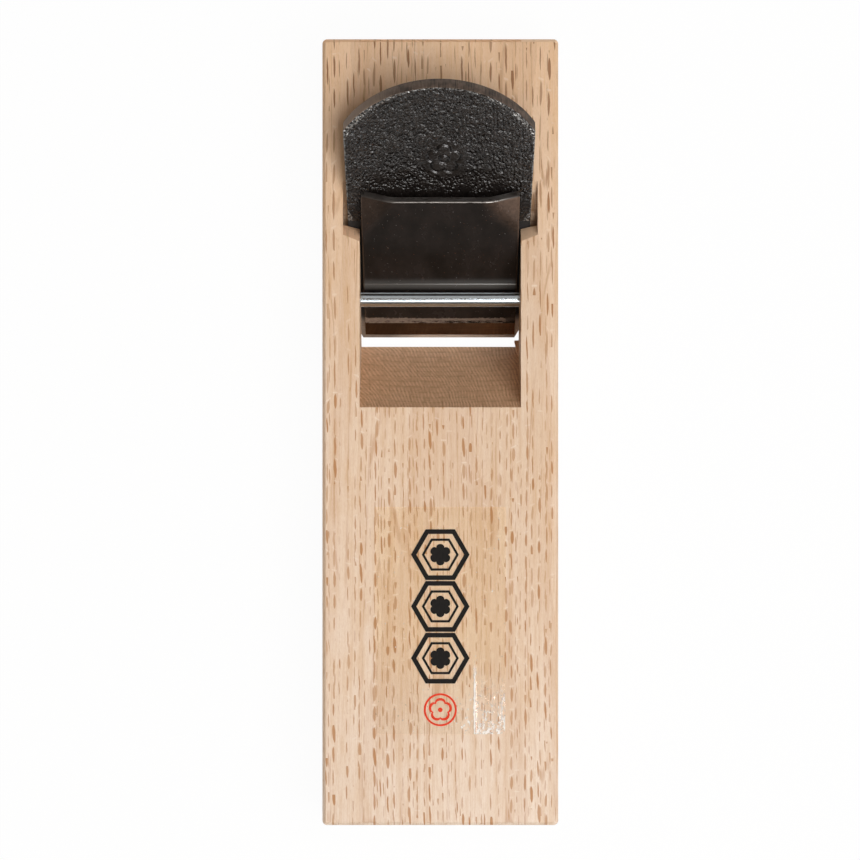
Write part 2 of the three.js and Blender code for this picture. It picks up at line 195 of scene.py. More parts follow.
class Value:
    """What a node gives. Sums and products of values that are numbers make the nodes that they need."""

    def __init__(self, nodes, socket):
        self.nodes = nodes
        self.socket = socket

    __add__ = through("ADD")
    __sub__ = through("SUBTRACT")
    __mul__ = through("MULTIPLY")
    __truediv__ = through("DIVIDE")
    __pow__ = through("POWER")
    __abs__ = through("ABSOLUTE")
    at_least = through("MAXIMUM")
    floor = through("FLOOR")
    fraction = through("FRACT")

    def __rsub__(self, other):
        return self.nodes.math("SUBTRACT", other, self)

    def ramp(self, low, high, to_low=0.0, to_high=1.0):
        """A smooth rise or fall from to_low, where the value is low, to to_high, where it is high."""
        inputs = {"Value": self, "From Min": low, "From Max": high, "To Min": to_low, "To Max": to_high}
        return self.nodes.add("MapRange", inputs, interpolation_type="SMOOTHSTEP")

    def noise(self, size, detail=2.0, roughness=0.5):
        """Noise from 0 to 1 at this place. Its features have one size or three, in millimetres."""
        sizes = size if isinstance(size, tuple) else (size, size, size)
        scaled = self.nodes.vector("DIVIDE", self, sizes)
        inputs = {"Vector": scaled, "Scale": 1.0, "Detail": detail, "Roughness": roughness}
        return self.nodes.add("TexNoise", inputs, "Fac")

    def other(self, output):
        """Another output of the node that gives this value."""
        return Value(self.nodes, self.socket.node.outputs[output])

    def bump(self, depth, strength=1.0, normal=None):
        """The normal of a surface whose height is this value times the depth, which is in metres."""
        inputs = {"Height": self, "Distance": depth, "Strength": strength}
        if normal is not None:
            inputs["Normal"] = normal
        return self.nodes.add("Bump", inputs)

    def coat(self, share, colour):
        """This colour under a coat of another."""
        return self.nodes.mix(share, self, colour)

    def split(self):
        first = self.nodes.add("SeparateXYZ", {"Vector": self})
        return [first.other(axis) for axis in "XYZ"]


class Nodes:
    """A material's or the world's node tree, with short calls for what they need here."""

    def __init__(self, name, world=False):
        kind = bpy.data.worlds if world else bpy.data.materials
        self.material = kind.new(name)
        self.material.use_nodes = True
        self.tree = self.material.node_tree
        self.shader = self.tree.nodes["Background" if world else "Principled BSDF"]

    def put(self, target, value):
        if isinstance(value, Value):
            self.tree.links.new(value.socket, target)
        else:
            target.default_value = value

    def add(self, kind, inputs=None, output=0, **settings):
        """A new node's output, as a value."""
        node = self.tree.nodes.new("ShaderNode" + kind)
        for name, value in settings.items():
            setattr(node, name, value)
        for name, value in (inputs or {}).items():
            self.put(node.inputs[name], value)
        return Value(self, node.outputs[output])

    def math(self, operation, *values):
        return self.add("Math", dict(enumerate(values)), operation=operation)

    def vector(self, operation, *vectors):
        output = "Value" if operation in ("LENGTH", "DISTANCE") else "Vector"
        return self.add("VectorMath", dict(enumerate(vectors)), output, operation=operation)

    def place(self):
        """The point in the object's own frame, in millimetres."""
        return self.vector("MULTIPLY", self.add("TexCoord", output="Object"), (1 / MM, 1 / MM, 1 / MM))

    def join(self, x, y, z):
        return self.add("CombineXYZ", {"X": x, "Y": y, "Z": z})

    def mix(self, share, first, second, blend_type="MIX"):
        inputs = {0: share, 6: first, 7: second}
        return self.add("Mix", inputs, output=2, data_type="RGBA", blend_type=blend_type)

    def finish(self, **inputs):
        """Put the values on the shader's sockets, and give the material back."""
        for name, value in inputs.items():
            self.put(self.shader.inputs[name.replace("_", " ")], value)
        return self.material


def srgb(red, green, blue):
    """A colour given as it shows on a screen, from 0 to 255, as a linear one."""
    linear = []
    for value in (red, green, blue):
        share = value / 255
        linear.append(share / 12.92 if share <= 0.04045 else ((share + 0.055) / 1.055) ** 2.4)
    return (*linear, 1.0)


# The oak. Its rays are thin sheets that stand upright along the grain, so they show as short dark
# strokes on top and as upright lines on the ends. Places and sizes in the materials are in millimetres.

OAK_COLOURS = (srgb(246, 228, 210), srgb(222, 187, 149), srgb(190, 136, 88), srgb(142, 98, 64))
CUT_OAK_COLOURS = (srgb(246, 201, 167), srgb(224, 178, 143), srgb(172, 129, 95), srgb(172, 129, 95))
OAK_GOLD_AND_SHADE = srgb(226, 178, 126)
OAK_WHITISH = srgb(250, 244, 238)
OAK_ON_ENDS = srgb(206, 164, 124)
OAK_SLIT = srgb(246, 232, 218)
OAK_PARED = srgb(250, 218, 184)
OAK_RIDGE_HIGHLIGHT = srgb(246, 206, 166)
LABEL_TINT = (1.06, 1.03, 0.93, 1.0)  # it also gives back what the film's gloss takes away

LONG_RAYS = {"column": 1.75, "row": 5.6, "height": 30.0, "half_width": 0.34, "share": 0.6, "seed": 7.0}
SHORT_RAYS = {"column": 1.25, "row": 4.8, "height": 18.0, "half_width": 0.2, "share": 0.5, "seed": 31.0}
RAYS_GROW_FROM, RAYS_GROWN_AT = 10.0, 60.0
RAY_GROWTH_SHARE = 0.35
CHAIN_SIZE, CHAIN_STEP = (1.0, 13.0, 20.0), 7.3
SLIT_PLACE, SLIT_REACH, SLIT_CORE, SLIT_SIDE = 0.16, 0.26, 0.1, 0.4
SWAY, SWAY_SIZE = 2.2, (18.0, 70.0, 45.0)
SHIVER, SHIVER_SIZE = 0.3, (1.2, 2.2, 5.0)
PITH_DEPTH, RING_SPACING, RING_SLOPE_SHARE = 120.0, 2.3, 0.012
RING_WOBBLE, RING_WOBBLE_SIZE = 2.4, (16.0, 70.0, 16.0)
LINE_SIZE, LINE_BREAK_SIZE = (8.0, 170.0, 6.0), (2.0, 12.0, 4.0)
FIBRE_SIZE = (0.26, 7.0, 0.8)
STREAK_SIZE = (1.1, 46.0, 3.0)
CLOUD_SIZE = (5.0, 14.0, 8.0)
PORE_SIZE = (0.16, 2.0, 0.16)
SPECK_SIZE = (0.2, 0.7, 0.3)
TAIL_END, TAIL_MIDDLE, THROAT_START, PAST_HEAD = -100.0, -55.0, -30.0, 110.0
GOLD_AND_SHADE_FROM, TAN_AT, HEAD_END = 10.0, 80.0, 100.0
LABEL_TINT_EDGE, LIFT_RUN = 0.3, 14.0
LABEL_START, LABEL_SOAKED = -76.0, -50.0
CUTTER_CENTRE, CUTTER_PITCH = (-38.0, -4.0, 0.0), 0.8
CUTTER_WANDER, CUTTER_WANDER_SIZE = 3.4, 13.0
CUTTER_SHAKE, CUTTER_SHAKE_SIZE = 0.35, 1.6
CUTTER_PATCH_SIZE, THROAT_HALF, THROAT_SIDE, PARED_HALF = 2.0, 20.5, 20.7, 20.0


def ray_layer(nodes, grain, column, row, height, half_width, share, seed):
    """Rays in broken chains along the grain: a mask of the blunt strokes, and one of the pale slits that
    cut the chains. Each column of cells has its own shift, and each cell its own random numbers."""
    x, y, z = grain.split()
    y = (y - RAYS_GROW_FROM).at_least(0.0) * -RAY_GROWTH_SHARE + y
    across = x / column + seed
    index = across.floor()
    column_noise = nodes.add("TexWhiteNoise", {"W": index}, "Color", noise_dimensions="1D")
    column_random = column_noise.split()
    along = column_random[0] * 9.0 + y / row
    level = column_random[1] * 5.0 + z / height
    cell = nodes.join(index, along.floor(), level.floor())
    cell_noise = nodes.add("TexWhiteNoise", {"Vector": cell}, "Color", noise_dimensions="3D")
    random = cell_noise.split()
    length = random[2] * 0.34 + 0.62
    half_length = length * (row / 2)
    room = (1.0 - length) * (random[1] - 0.5)
    shift = column_random[1] * 0.4 + (random[0] * 0.16 + 0.22)
    dx = (across.fraction() - shift) * column
    dy = (along.fraction() - (room + 0.5)) * row
    dz = level.fraction() * 2.0 - 1.0
    width = (random[0] * 0.9 + 0.5) * half_width
    leaned = abs(dy * (random[1] * 0.06 - 0.02) + dx)
    slanted = dx * (random[2] * 2.0 - 0.8) + dy
    reach = (leaned / width) ** 1.4 + abs(slanted / half_length) ** 2.4 + abs(dz) ** 6.0
    chain = nodes.join(index * CHAIN_STEP, y, z).noise(CHAIN_SIZE, 1.0).ramp(0.32, 0.68)
    chance = chain * 0.55 + cell_noise.other("Value") * 0.45
    fewer = y.ramp(RAYS_GROW_FROM, RAYS_GROWN_AT, share - 0.2, share - 0.28)
    shown = nodes.math("LESS_THAN", chance, column_random[2] * 0.4 + fewer)
    rays = reach.ramp(1.0, 0.62) * (shown * (random[1] * 0.5 + 0.5))
    slit_along = abs(slanted - half_length - SLIT_PLACE).ramp(SLIT_REACH, SLIT_CORE)
    slit_across = (abs(dx) - width).ramp(SLIT_SIDE, SLIT_CORE)
    return rays, slit_along * slit_across * (shown * random[0])


def oak_grain(nodes, place):
    """The place, swayed sideways, so that what is drawn along the grain wanders a little."""
    sway = place.noise(SWAY_SIZE, 1.0) - 0.5
    shiver = place.noise(SHIVER_SIZE, 2.0) - 0.5
    return nodes.vector("ADD", place, nodes.join(sway * SWAY + shiver * SHIVER, 0.0, 0.0))


def growth_rings(nodes, grain):
    """Bands about a pith far below the block: wide apart on top, close together on the sides."""
    x, y, z = grain.split()
    from_pith = nodes.math("SQRT", x ** 2.0 + (z + PITH_DEPTH) ** 2.0)
    wobble = grain.noise(RING_WOBBLE_SIZE, 2.0) * RING_WOBBLE
    return ((from_pith + (y * RING_SLOPE_SHARE + wobble)) / RING_SPACING).fraction()


def grain_lines(grain):
    """Long thin lines where the growth rings come out through the surface."""
    level = (grain.noise(LINE_SIZE, 1.0, 0.4) * 7.0).fraction()
    broken = grain.noise(LINE_BREAK_SIZE, 1.0).ramp(0.35, 0.6)
    return abs(level - 0.5).ramp(0.075, 0.01) * broken


def label_share(place):
    """1 under the clear label, where the gum wets the wood, and 0 beside it and under the blister."""
    low, high = label_low / MM, label_high / MM
    x, y, _ = place.split()
    inside = x.ramp(low.x - LABEL_TINT_EDGE, low.x) * x.ramp(high.x + LABEL_TINT_EDGE, high.x)
    inside = inside * (y.ramp(low.y - LABEL_TINT_EDGE, low.y) * y.ramp(high.y + LABEL_TINT_EDGE, high.y))
    left, top = BLISTER_LEFT / MM, BLISTER_TOP / MM
    lifted = x.ramp(left, left + LABEL_TINT_EDGE) * y.ramp(top, top - LIFT_RUN)
    return inside * (1.0 - lifted)


def plain_oak(nodes, grain, along, fibres, pale, tan, ray):
    """The wood between the rays, which is more golden at the head and whiter at the tail. The gold at the
    head is partly the wood's tone and partly painted warm shade about the blade's head.
    """
    streaks = grain.noise(STREAK_SIZE, 3.0, 0.55)
    cloud = grain.noise(CLOUD_SIZE, 3.0, 0.6)
    shade = fibres * 0.8 + streaks * 0.75 + cloud * 0.5
    base = nodes.mix(shade.ramp(0.72, 1.46), pale, tan)
    base = base.coat(along.ramp(-PAST_HEAD, THROAT_START, 0.0, 0.27), tan)
    base = base.coat(along.ramp(THROAT_START, TAN_AT, 0.0, 0.2), tan)
    # Partly painted shade: the head is tinted golden to stand for the warm shade about the blade's head.
    base = base.coat(along.ramp(GOLD_AND_SHADE_FROM, HEAD_END, 0.0, 0.34), OAK_GOLD_AND_SHADE)
    base = base.coat(along.ramp(TAIL_MIDDLE, TAIL_END, 0.0, 0.12), OAK_WHITISH)
    return base.coat(grain.noise(SPECK_SIZE, 1.0).ramp(0.3, 0.7, 0.0, 0.1), ray)


def oak_material(name, pale, tan, ray, ray_at_head, cut=False):
    nodes = Nodes(name)
    place = nodes.place()
    grain = oak_grain(nodes, place)
    _, along, height = place.split()
    facing = nodes.add("TexCoord", output="Normal").split()
    on_end = abs(facing[1]).ramp(0.75, 0.92)
    off_end = 1.0 - on_end
    on_top_or_sole = abs(facing[0]).ramp(0.9, 0.5)
    fibres = grain.noise(FIBRE_SIZE, 3.0, 0.65)
    pores = grain.noise(PORE_SIZE, 2.0, 0.6).ramp(0.6, 0.7)
    base = plain_oak(nodes, grain, along, fibres, pale, tan, ray)
    base = base.coat(on_end * 0.75, OAK_ON_ENDS)
    ray = nodes.mix(along.ramp(0.0, PAST_HEAD), ray, ray_at_head)
    rings = growth_rings(nodes, grain).ramp(0.55, 1.0)
    base = base.coat(rings * (on_end * 0.35 + 0.15), ray)
    base = base.coat(grain_lines(grain) * 0.42, ray)
    base = base.coat(pores * (on_end * 0.4 + 0.26), ray)
    long_rays, slits = ray_layer(nodes, grain, **LONG_RAYS)
    short_rays, _ = ray_layer(nodes, grain, **SHORT_RAYS)
    base = base.coat(slits * (off_end * on_top_or_sole) * 0.45, OAK_SLIT)
    rays = (short_rays * 0.8).at_least(long_rays) * (off_end * 0.75 + 0.25) * on_top_or_sole
    base = base.coat(rays, ray)
    relief = fibres * 0.6 + pores * -0.5 + rays * -0.3
    normal = relief.bump(depth=0.05 * MM, strength=0.7)
    if cut:
        base, normal = cutter_ripples(nodes, place, base, normal)
    else:
        on_top = nodes.math("GREATER_THAN", height, (BLOCK_TOP - MM) / MM)
        soaked = along.ramp(LABEL_START, LABEL_SOAKED, 0.35, 1.0)
        base = nodes.mix(label_share(place) * on_top * soaked, base, LABEL_TINT, "MULTIPLY")
    return nodes.finish(
        Base_Color=base, Roughness=fibres * 0.2 + 0.45, Normal=normal, Specular_IOR_Level=0.3
    )


def cutter_ripples(nodes, place, base, normal):
    """Fine arcs that the milling cutter left in the throat, about a centre to the lower left, with painted
    highlight on their ridges. The narrow faces beside it are smoothed by paring, and painted lighter
    towards the right, where they lie in shade."""
    x, y, _ = place.split()
    distance = nodes.vector("DISTANCE", nodes.join(x, y, 0.0), CUTTER_CENTRE)
    distance = place.noise(CUTTER_WANDER_SIZE, 1.0) * CUTTER_WANDER + distance
    distance = place.noise(CUTTER_SHAKE_SIZE, 2.0) * CUTTER_SHAKE + distance
    ridges = nodes.math("SINE", distance * (2 * math.pi / CUTTER_PITCH)) * 0.5 + 0.5
    in_throat = abs(x).ramp(THROAT_SIDE, THROAT_HALF)
    patchy = place.noise(CUTTER_PATCH_SIZE, 3.0).ramp(0.34, 0.62, 0.2, 1.0) * in_throat
    # Painted light: the faces beside the throat are made lighter towards the right, where they lie in
    # shade.
    pared_and_painted_light = (1.0 - in_throat) * x.ramp(-PARED_HALF, PARED_HALF, 0.3, 0.8)
    base = base.coat(pared_and_painted_light, OAK_PARED)
    # Painted highlight: the ridges are made paler on top of their bump.
    base = base.coat(ridges * (patchy * 0.8), OAK_RIDGE_HIGHLIGHT)
    return base, (ridges * patchy).bump(depth=0.1 * MM, normal=normal)


# The metals

SCALE_BEND, SCALE_BEND_RATE, SCALE_CELL = 0.95, 1.1, (0.74, 0.9, 0.8)
SCALE_GRIT_SIZE, SCALE_ZONE_SIZE, SCALE_STAIN_SIZE = (0.45, 0.5, 0.45), (4.4, 3.2, 4.4), (5.0, 7.0, 5.0)
SCALE_SMOOTH_TO, SCALE_ROUGH_FROM = 40.0, 60.0
STAMP_CALM_TO, STAMP_CALM_END = 4.6, 6.6
RIM_WEAR_FROM, RIM_WEAR_FULL, RIM_WEAR_SIZE = 25.6, 26.1, 0.6
SIDE_WEAR_FROM, SIDE_WEAR_FULL, BLADE_HALF_AT_EDGE = 0.35, 0.1, 22.0
PAINTED_GROOVE_SHADE = srgb(11, 9, 8)


def forged_black():
    """Black forge scale with a skin of small pebbles and worms, worn bright along the rim and the sides,
    with painted shade in the hollows between the pebbles and in the stamp's grooves.
    """
    nodes = Nodes("forged_black")
    place = nodes.place()
    x, along, _ = place.split()
    wander = nodes.add("TexNoise", {"Vector": place, "Scale": SCALE_BEND_RATE, "Detail": 1.0}, "Color")
    bent = nodes.vector("ADD", place, nodes.vector("MULTIPLY", wander, (SCALE_BEND,) * 3))
    inputs = {"Vector": nodes.vector("DIVIDE", bent, SCALE_CELL), "Scale": 1.0, "Smoothness": 0.3}
    cells = nodes.add("TexVoronoi", inputs, "Distance", feature="SMOOTH_F1")
    grit = place.noise(SCALE_GRIT_SIZE, 1.0)
    zones = place.noise(SCALE_ZONE_SIZE, 2.0).ramp(0.4, 0.58, 0.36, 1.0)
    stamped = nodes.add("Attribute", output="Fac", attribute_name="stamped")
    stamp_place = (BLOSSOM_X / MM, BLOSSOM_Y / MM, 0.0)
    to_stamp = nodes.vector("DISTANCE", nodes.join(x, along, 0.0), stamp_place)
    pebbled = along.ramp(SCALE_SMOOTH_TO, SCALE_ROUGH_FROM, 0.35, 1.0) * stamped.ramp(0.6, 0.1, 0.1, 1.0)
    pebbled = pebbled * to_stamp.ramp(STAMP_CALM_TO, STAMP_CALM_END, 0.22, 1.0)
    height = (grit * 0.4 - cells) * (pebbled * zones)
    stain = place.noise(SCALE_STAIN_SIZE, 4.0, 0.6)
    base = nodes.mix(stain.ramp(0.3, 0.7), srgb(26, 22, 20), srgb(37, 32, 29))
    # Painted shade: the hollows between the pebbles and the stamp's grooves are darkened as if shaded.
    base = base.coat(cells.ramp(0.4, 0.66) * pebbled * 0.85, PAINTED_GROOVE_SHADE)
    base = base.coat(stamped * 0.9, PAINTED_GROOVE_SHADE)
    arc_middle = (BLADE_LENGTH - BLADE_HEAD_RADIUS) / MM
    from_middle = nodes.vector("LENGTH", nodes.join(x, along - arc_middle, 0.0))
    to_side = along * BLADE_SIDE_TAPER_SHARE + BLADE_HALF_AT_EDGE - abs(x)
    near_rim = from_middle.ramp(RIM_WEAR_FROM, RIM_WEAR_FULL)
    near_rim = near_rim.at_least(to_side.ramp(SIDE_WEAR_FROM, SIDE_WEAR_FULL, 0.0, 0.7))
    worn = near_rim * place.noise(RIM_WEAR_SIZE, 2.0).ramp(0.46, 0.6)
    return nodes.finish(
        Base_Color=base.coat(worn, srgb(176, 176, 174)),
        Metallic=worn * 0.8,
        Roughness=stain * 0.16 + 0.16,
        Normal=height.bump(depth=0.78 * MM),
        Specular_IOR_Level=0.7,
    )


RIM_CLOUD_SIZE, RIM_SCRATCH_SIZE = 3.0, (0.25, 4.0, 4.0)
RIM_PALE_FROM, RIM_PALE_AT = -8.0, -22.0
UNDERSIDE_CLOUD_SIZE = (5.0, 9.0, 5.0)


def rim_iron():
    """The head's sawn and blackened rim, paler at its left."""
    nodes = Nodes("rim_iron")
    place = nodes.place()
    cloud = place.noise(RIM_CLOUD_SIZE, 4.0, 0.6)
    scratches = place.noise(RIM_SCRATCH_SIZE, 3.0)
    share = scratches * 0.5 + cloud * 0.6
    base = nodes.mix(share.ramp(0.35, 0.75), srgb(46, 38, 32), srgb(106, 90, 78))
    left = place.split()[0].ramp(RIM_PALE_FROM, RIM_PALE_AT)
    return nodes.finish(
        Base_Color=base.coat(left * 0.7, srgb(156, 136, 120)),
        Specular_IOR_Level=0.25,
        Roughness=0.62,
        Normal=scratches.bump(depth=0.03 * MM, strength=0.6),
    )


def iron_underside():
    """The scale on the undersides and the sides of the blade and the chipbreaker."""
    nodes = Nodes("iron_underside")
    cloud = nodes.place().noise(UNDERSIDE_CLOUD_SIZE, 5.0, 0.65)
    return nodes.finish(
        Base_Color=nodes.mix(cloud.ramp(0.3, 0.7), srgb(38, 33, 30), srgb(66, 57, 50)),
        Roughness=cloud * 0.2 + 0.42,
        Normal=cloud.bump(depth=0.05 * MM, strength=0.5),
    )


GRINDING_SIZE, GROUND_CLOUD_SIZE = (9.0, 0.12, 0.12), 4.0
SIDE_LIGHT_NEAR, SIDE_LIGHT_FAR = 3.0, 14.0
SCALE_EDGE = 3.0


def ground_steel(name, pale, dark, roughness, scale_from=None, painted_light_shares=None):
    """Steel with the fine parallel lines of a grinding wheel, and black scale past scale_from.
    painted_light_shares make its left, middle and right lighter or darker, as painted light and reflection."""
    nodes = Nodes(name)
    place = nodes.place()
    across, along, _ = place.split()
    lines = place.noise(GRINDING_SIZE, 3.0, 0.6)
    cloud = place.noise(GROUND_CLOUD_SIZE, 3.0)
    base = nodes.mix((lines * 0.7 + cloud * 0.4).ramp(0.3, 0.8), dark, pale)
    if painted_light_shares:
        left, middle, right = painted_light_shares
        # Painted light: the left, middle and right are made lighter or darker to stand for how light and
        # reflections fall on them.
        light = across.ramp(-SIDE_LIGHT_FAR, -SIDE_LIGHT_NEAR, left, middle)
        light = light + across.ramp(SIDE_LIGHT_NEAR, SIDE_LIGHT_FAR, 0.0, right - middle)
        base = nodes.vector("MULTIPLY", base, nodes.join(light, light, light))
    bare = 1.0
    if scale_from is not None:
        bare = (cloud * SCALE_EDGE + along).ramp(scale_from + SCALE_EDGE, scale_from)
        base = nodes.mix(bare, srgb(34, 33, 33), base)
    return nodes.finish(
        Base_Color=base,
        Metallic=bare,
        Roughness=lines * 0.12 + roughness,
        Normal=lines.bump(depth=0.008 * MM, strength=0.5),
    )


def dots(nodes, place, cell, radius, seed):
    """Round dots, one for each cell, of random strength. Sizes are in millimetres."""
    scaled = nodes.vector("DIVIDE", place, (cell, cell, cell))
    moved = nodes.vector("ADD", scaled, (seed, seed, seed))
    distance = nodes.add("TexVoronoi", {"Vector": moved, "Scale": 1.0, "Randomness": 1.0}, "Distance")
    return distance.ramp(radius / cell, 0.5 * radius / cell) * distance.other("Color").split()[0]


# The chipbreaker's black. Places along it are counted from its edge.

SHOULDER = CHIP_SHOULDER_LENGTH / MM
BURNISHED_ABOVE, BURNISHED_BELOW = 2.4, 2.8
BELOW_LINE, ABOVE_LINE, SHOULDER_HIGHLIGHT_REACH, SHOULDER_HIGHLIGHT_CORE = -0.1, 0.3, 0.32, 0.12
GLOSS_AND_SHADE_BAND = (12.0, 13.0, 16.2, 17.6)
LINE_SIDE, WORN_RIGHT_FROM = 16.0, 2.0
BORDER_FROM, BORDER_FULL = 0.85, 0.4
BLACK_CLOUD_SIZE, MOTTLE_SIZE = (6.0, 9.0, 6.0), 0.7
RAGGED_SIZE, RAGGED_REACH, RAGGED_BOW, BOW_HALF = (0.8, 0.4, 0.5), 1.5, 0.25, 20.0
RAGGED_OUTER, RAGGED_INNER = 0.1, -0.15
ISLAND_SIZE, ISLAND_LINE, ISLAND_REACH, ISLAND_CORE = (1.8, 0.3, 0.5), 4.95, 0.75, 0.4
ISLANDS_FEW_AT, ISLANDS_MANY_AT = -9.0, 4.0
BARE_TO_X, BARE_END_X = 16.4, 17.4


def shoulder_polish_and_highlight(x, along):
    """How far the blacking shows burnish near the shoulder, with a painted glow about it, and how bright
    the painted highlight on the shoulder's own line is.
    """
    past = along - SHOULDER
    near = past.ramp(BURNISHED_ABOVE, 0.0) * past.ramp(-BURNISHED_BELOW, 0.0)
    to_right = x.ramp(-LINE_SIDE, LINE_SIDE)
    burnish_and_glow = near * (past.ramp(ABOVE_LINE, BELOW_LINE, 0.28, 0.56) * (to_right * 0.2 + 0.9))
    return burnish_and_glow, abs(past).ramp(SHOULDER_HIGHLIGHT_REACH, SHOULDER_HIGHLIGHT_CORE) * (to_right * 0.34)


def corner_wear_and_sheen(x, along, cloud, mottle):
    """How far the bent corners are worn, with painted sheen that is strongest on the right one."""
    corner = (abs(x) - (CHIP_TOP_HALF - EAR_WIDTH) / MM) / (EAR_WIDTH / MM)
    upper = (along - (CHIP_LENGTH - EAR_LENGTH) / MM) / (EAR_LENGTH / MM)
    on_ear = (cloud * 0.5 + (corner + upper)).ramp(0.9, 2.1)
    sheen_more_at_right = x.ramp(-WORN_RIGHT_FROM, WORN_RIGHT_FROM, 0.25, 1.0)
    return on_ear * sheen_more_at_right * mottle.ramp(0.3, 0.7, 0.45, 0.85)


def ground_band(place, x, along):
    """Where the front is ground bare: up to a ragged line, apart from islands of black along its middle."""
    shake = (place.noise(RAGGED_SIZE, 3.0, 0.7) - 0.5) * RAGGED_REACH
    line = shake + (along - (x / BOW_HALF) ** 2.0 * RAGGED_BOW)
    ground_to = CHIP_GROUND_LENGTH / MM
    bare = line.ramp(ground_to + RAGGED_OUTER, ground_to + RAGGED_INNER)
    spots = place.noise(ISLAND_SIZE, 3.0, 0.65) + x.ramp(ISLANDS_FEW_AT, ISLANDS_MANY_AT, -0.07, 0.04)
    islands = spots.ramp(0.49, 0.52) * abs(along - ISLAND_LINE).ramp(ISLAND_REACH, ISLAND_CORE)
    return bare * (1.0 - islands) * x.ramp(BARE_END_X, BARE_TO_X, 0.25, 1.0)


def satin_black():
    """The chipbreaker's blacking: thinner on the bent corners, browner along the edges, and ground away in
    a ragged band behind the bevel. It also has painted sheen on the corners, a painted glow and highlight
    at the shoulder, and painted shade in the band beside the pin."""
    nodes = Nodes("satin_black")
    place = nodes.place()
    x, along, _ = place.split()
    cloud = place.noise(BLACK_CLOUD_SIZE, 4.0, 0.6)
    mottle = place.noise(MOTTLE_SIZE, 3.0, 0.6)
    base = nodes.mix(cloud.ramp(0.3, 0.7), srgb(28, 24, 21), srgb(41, 35, 32))
    burnish_and_glow, line = shoulder_polish_and_highlight(x, along)
    # Painted light: a glow about the shoulder, partly burnish, and a highlight on its line, brightest at
    # the right.
    base = base.coat(burnish_and_glow, srgb(124, 121, 117))
    base = base.coat(line, srgb(196, 198, 196))
    # Painted shade: the band beside the pin is darkened as if in the pin's shade, and it is glossier too.
    rise_from, rise_to, fall_from, fall_to = GLOSS_AND_SHADE_BAND
    gloss_and_shade = along.ramp(rise_from, rise_to) * along.ramp(fall_to, fall_from)
    base = base.coat(gloss_and_shade * 0.8, srgb(10, 13, 18))
    taper_share = (CHIP_TOP_HALF - CHIP_EDGE_HALF) / CHIP_LENGTH
    to_side = along * taper_share + CHIP_EDGE_HALF / MM - abs(x)
    border = (cloud * 0.8 + to_side).ramp(BORDER_FROM, BORDER_FULL)
    base = base.coat(border * 0.45, srgb(104, 84, 70))
    # The bent corners' wear, together with painted sheen that is strongest on the right corner.
    worn = corner_wear_and_sheen(x, along, cloud, mottle)
    base = base.coat(worn, srgb(126, 104, 90))
    base = base.coat(dots(nodes, place, cell=1.1, radius=0.11, seed=3.0) * 0.75, srgb(150, 146, 142))
    base = base.coat(dots(nodes, place, cell=1.3, radius=0.15, seed=9.0) * 0.7, srgb(104, 66, 42))
    bare = ground_band(place, x, along)
    base = base.coat(bare, nodes.mix(mottle, srgb(104, 93, 84), srgb(166, 152, 140)))
    metal = (bare * 0.6).at_least(worn * 0.6).at_least(burnish_and_glow * 0.4)
    roughness = (cloud * 0.12 + 0.2) * (gloss_and_shade * -0.7 + 1.0)
    return nodes.finish(
        Base_Color=base,
        Metallic=metal,
        Roughness=roughness.at_least(bare * 0.6),
        Normal=mottle.bump(depth=0.012 * MM, strength=0.5),
        Specular_IOR_Level=0.16,
    )


WORN_EDGE_SIZE, WORN_EDGE_MIDDLE, WORN_EDGE_HALF, WORN_EDGE_END = (2.2, 0.5, 0.5), 2.0, 12.0, 17.0
ROD_GRAIN_SIZE, ROD_LINE_SIZE = (0.3, 0.13, 0.13), (12.0, 0.1, 0.1)


def worn_edge():
    """Steel that handling has bared along the chipbreaker's upper edge."""
    nodes = Nodes("worn_edge")
    place = nodes.place()
    from_middle = abs(place.split()[0] - WORN_EDGE_MIDDLE)
    patches = place.noise(WORN_EDGE_SIZE, 3.0, 0.6)
    bare = patches.ramp(0.3, 0.5) * from_middle.ramp(WORN_EDGE_END, WORN_EDGE_HALF, 0.15, 1.0)
    base = nodes.mix(bare, srgb(34, 28, 24), srgb(136, 132, 128))
    return nodes.finish(Base_Color=base, Metallic=bare, Roughness=0.36)


def bright_rod():
    """Drawn steel, with a painted highlight: a band along its upper side, towards the head, that is not
    metal and so shows pale.
    """
    nodes = Nodes("bright_rod")
    place = nodes.place()
    grains = place.noise(ROD_GRAIN_SIZE, 2.0, 0.6)
    lines = place.noise(ROD_LINE_SIZE, 2.0, 0.5)
    share = grains * 0.6 + lines * 0.4
    base = nodes.mix(share.ramp(0.3, 0.7), srgb(182, 194, 202), srgb(220, 232, 240))
    _, y, z = place.split()
    # Painted highlight: a band that is not metal, so that it shows pale under the lamps.
    painted_highlight_band = abs(nodes.math("ARCTAN2", y, z) - PIN_HIGHLIGHT_ANGLE).ramp(0.15, 0.08)
    return nodes.finish(
        Base_Color=base,
        Metallic=painted_highlight_band * -0.95 + 1.0,
        Roughness=share * 0.08 + 0.09,
        Normal=share.bump(depth=0.016 * MM, strength=0.6),
    )


# The label's film and inks

RAGGED_FILM_SIZE, FLECK_SIZE = (0.8, 1.6, 0.8), (0.8, 1.2, 0.8)
CREASE_NET_SIZE, CREASE_PATCH_SIZE = (1.2, 1.9, 1.2), 1.5
LIFT_FROM, LIFT_FULL, LIFT_LENGTH, LIFT_RAGGED = 0.2, 0.5, 12.0, 5.0
DENSE_BOTTOM_FROM, DENSE_BOTTOM_FULL = 3.6, 1.2
DENSE_RIGHT_FROM, DENSE_RIGHT_FULL = 1.4, 0.6
RIDGE_PLACE, RIDGE_RAGGED, RIDGE_REACH, RIDGE_CORE = 0.35, 0.3, 0.22, 0.05
RIDGE_ABOVE, RIDGE_BELOW = 1.0, 5.0
FLECKS_LEFT, FLECKS_ABOVE, FLECKS_FULL = 11.0, 15.0, 3.0
BUBBLES_ABOVE, BUBBLES_FULL = 2.0, 16.0
INK_SIZE = (0.4, 1.6, 0.4)


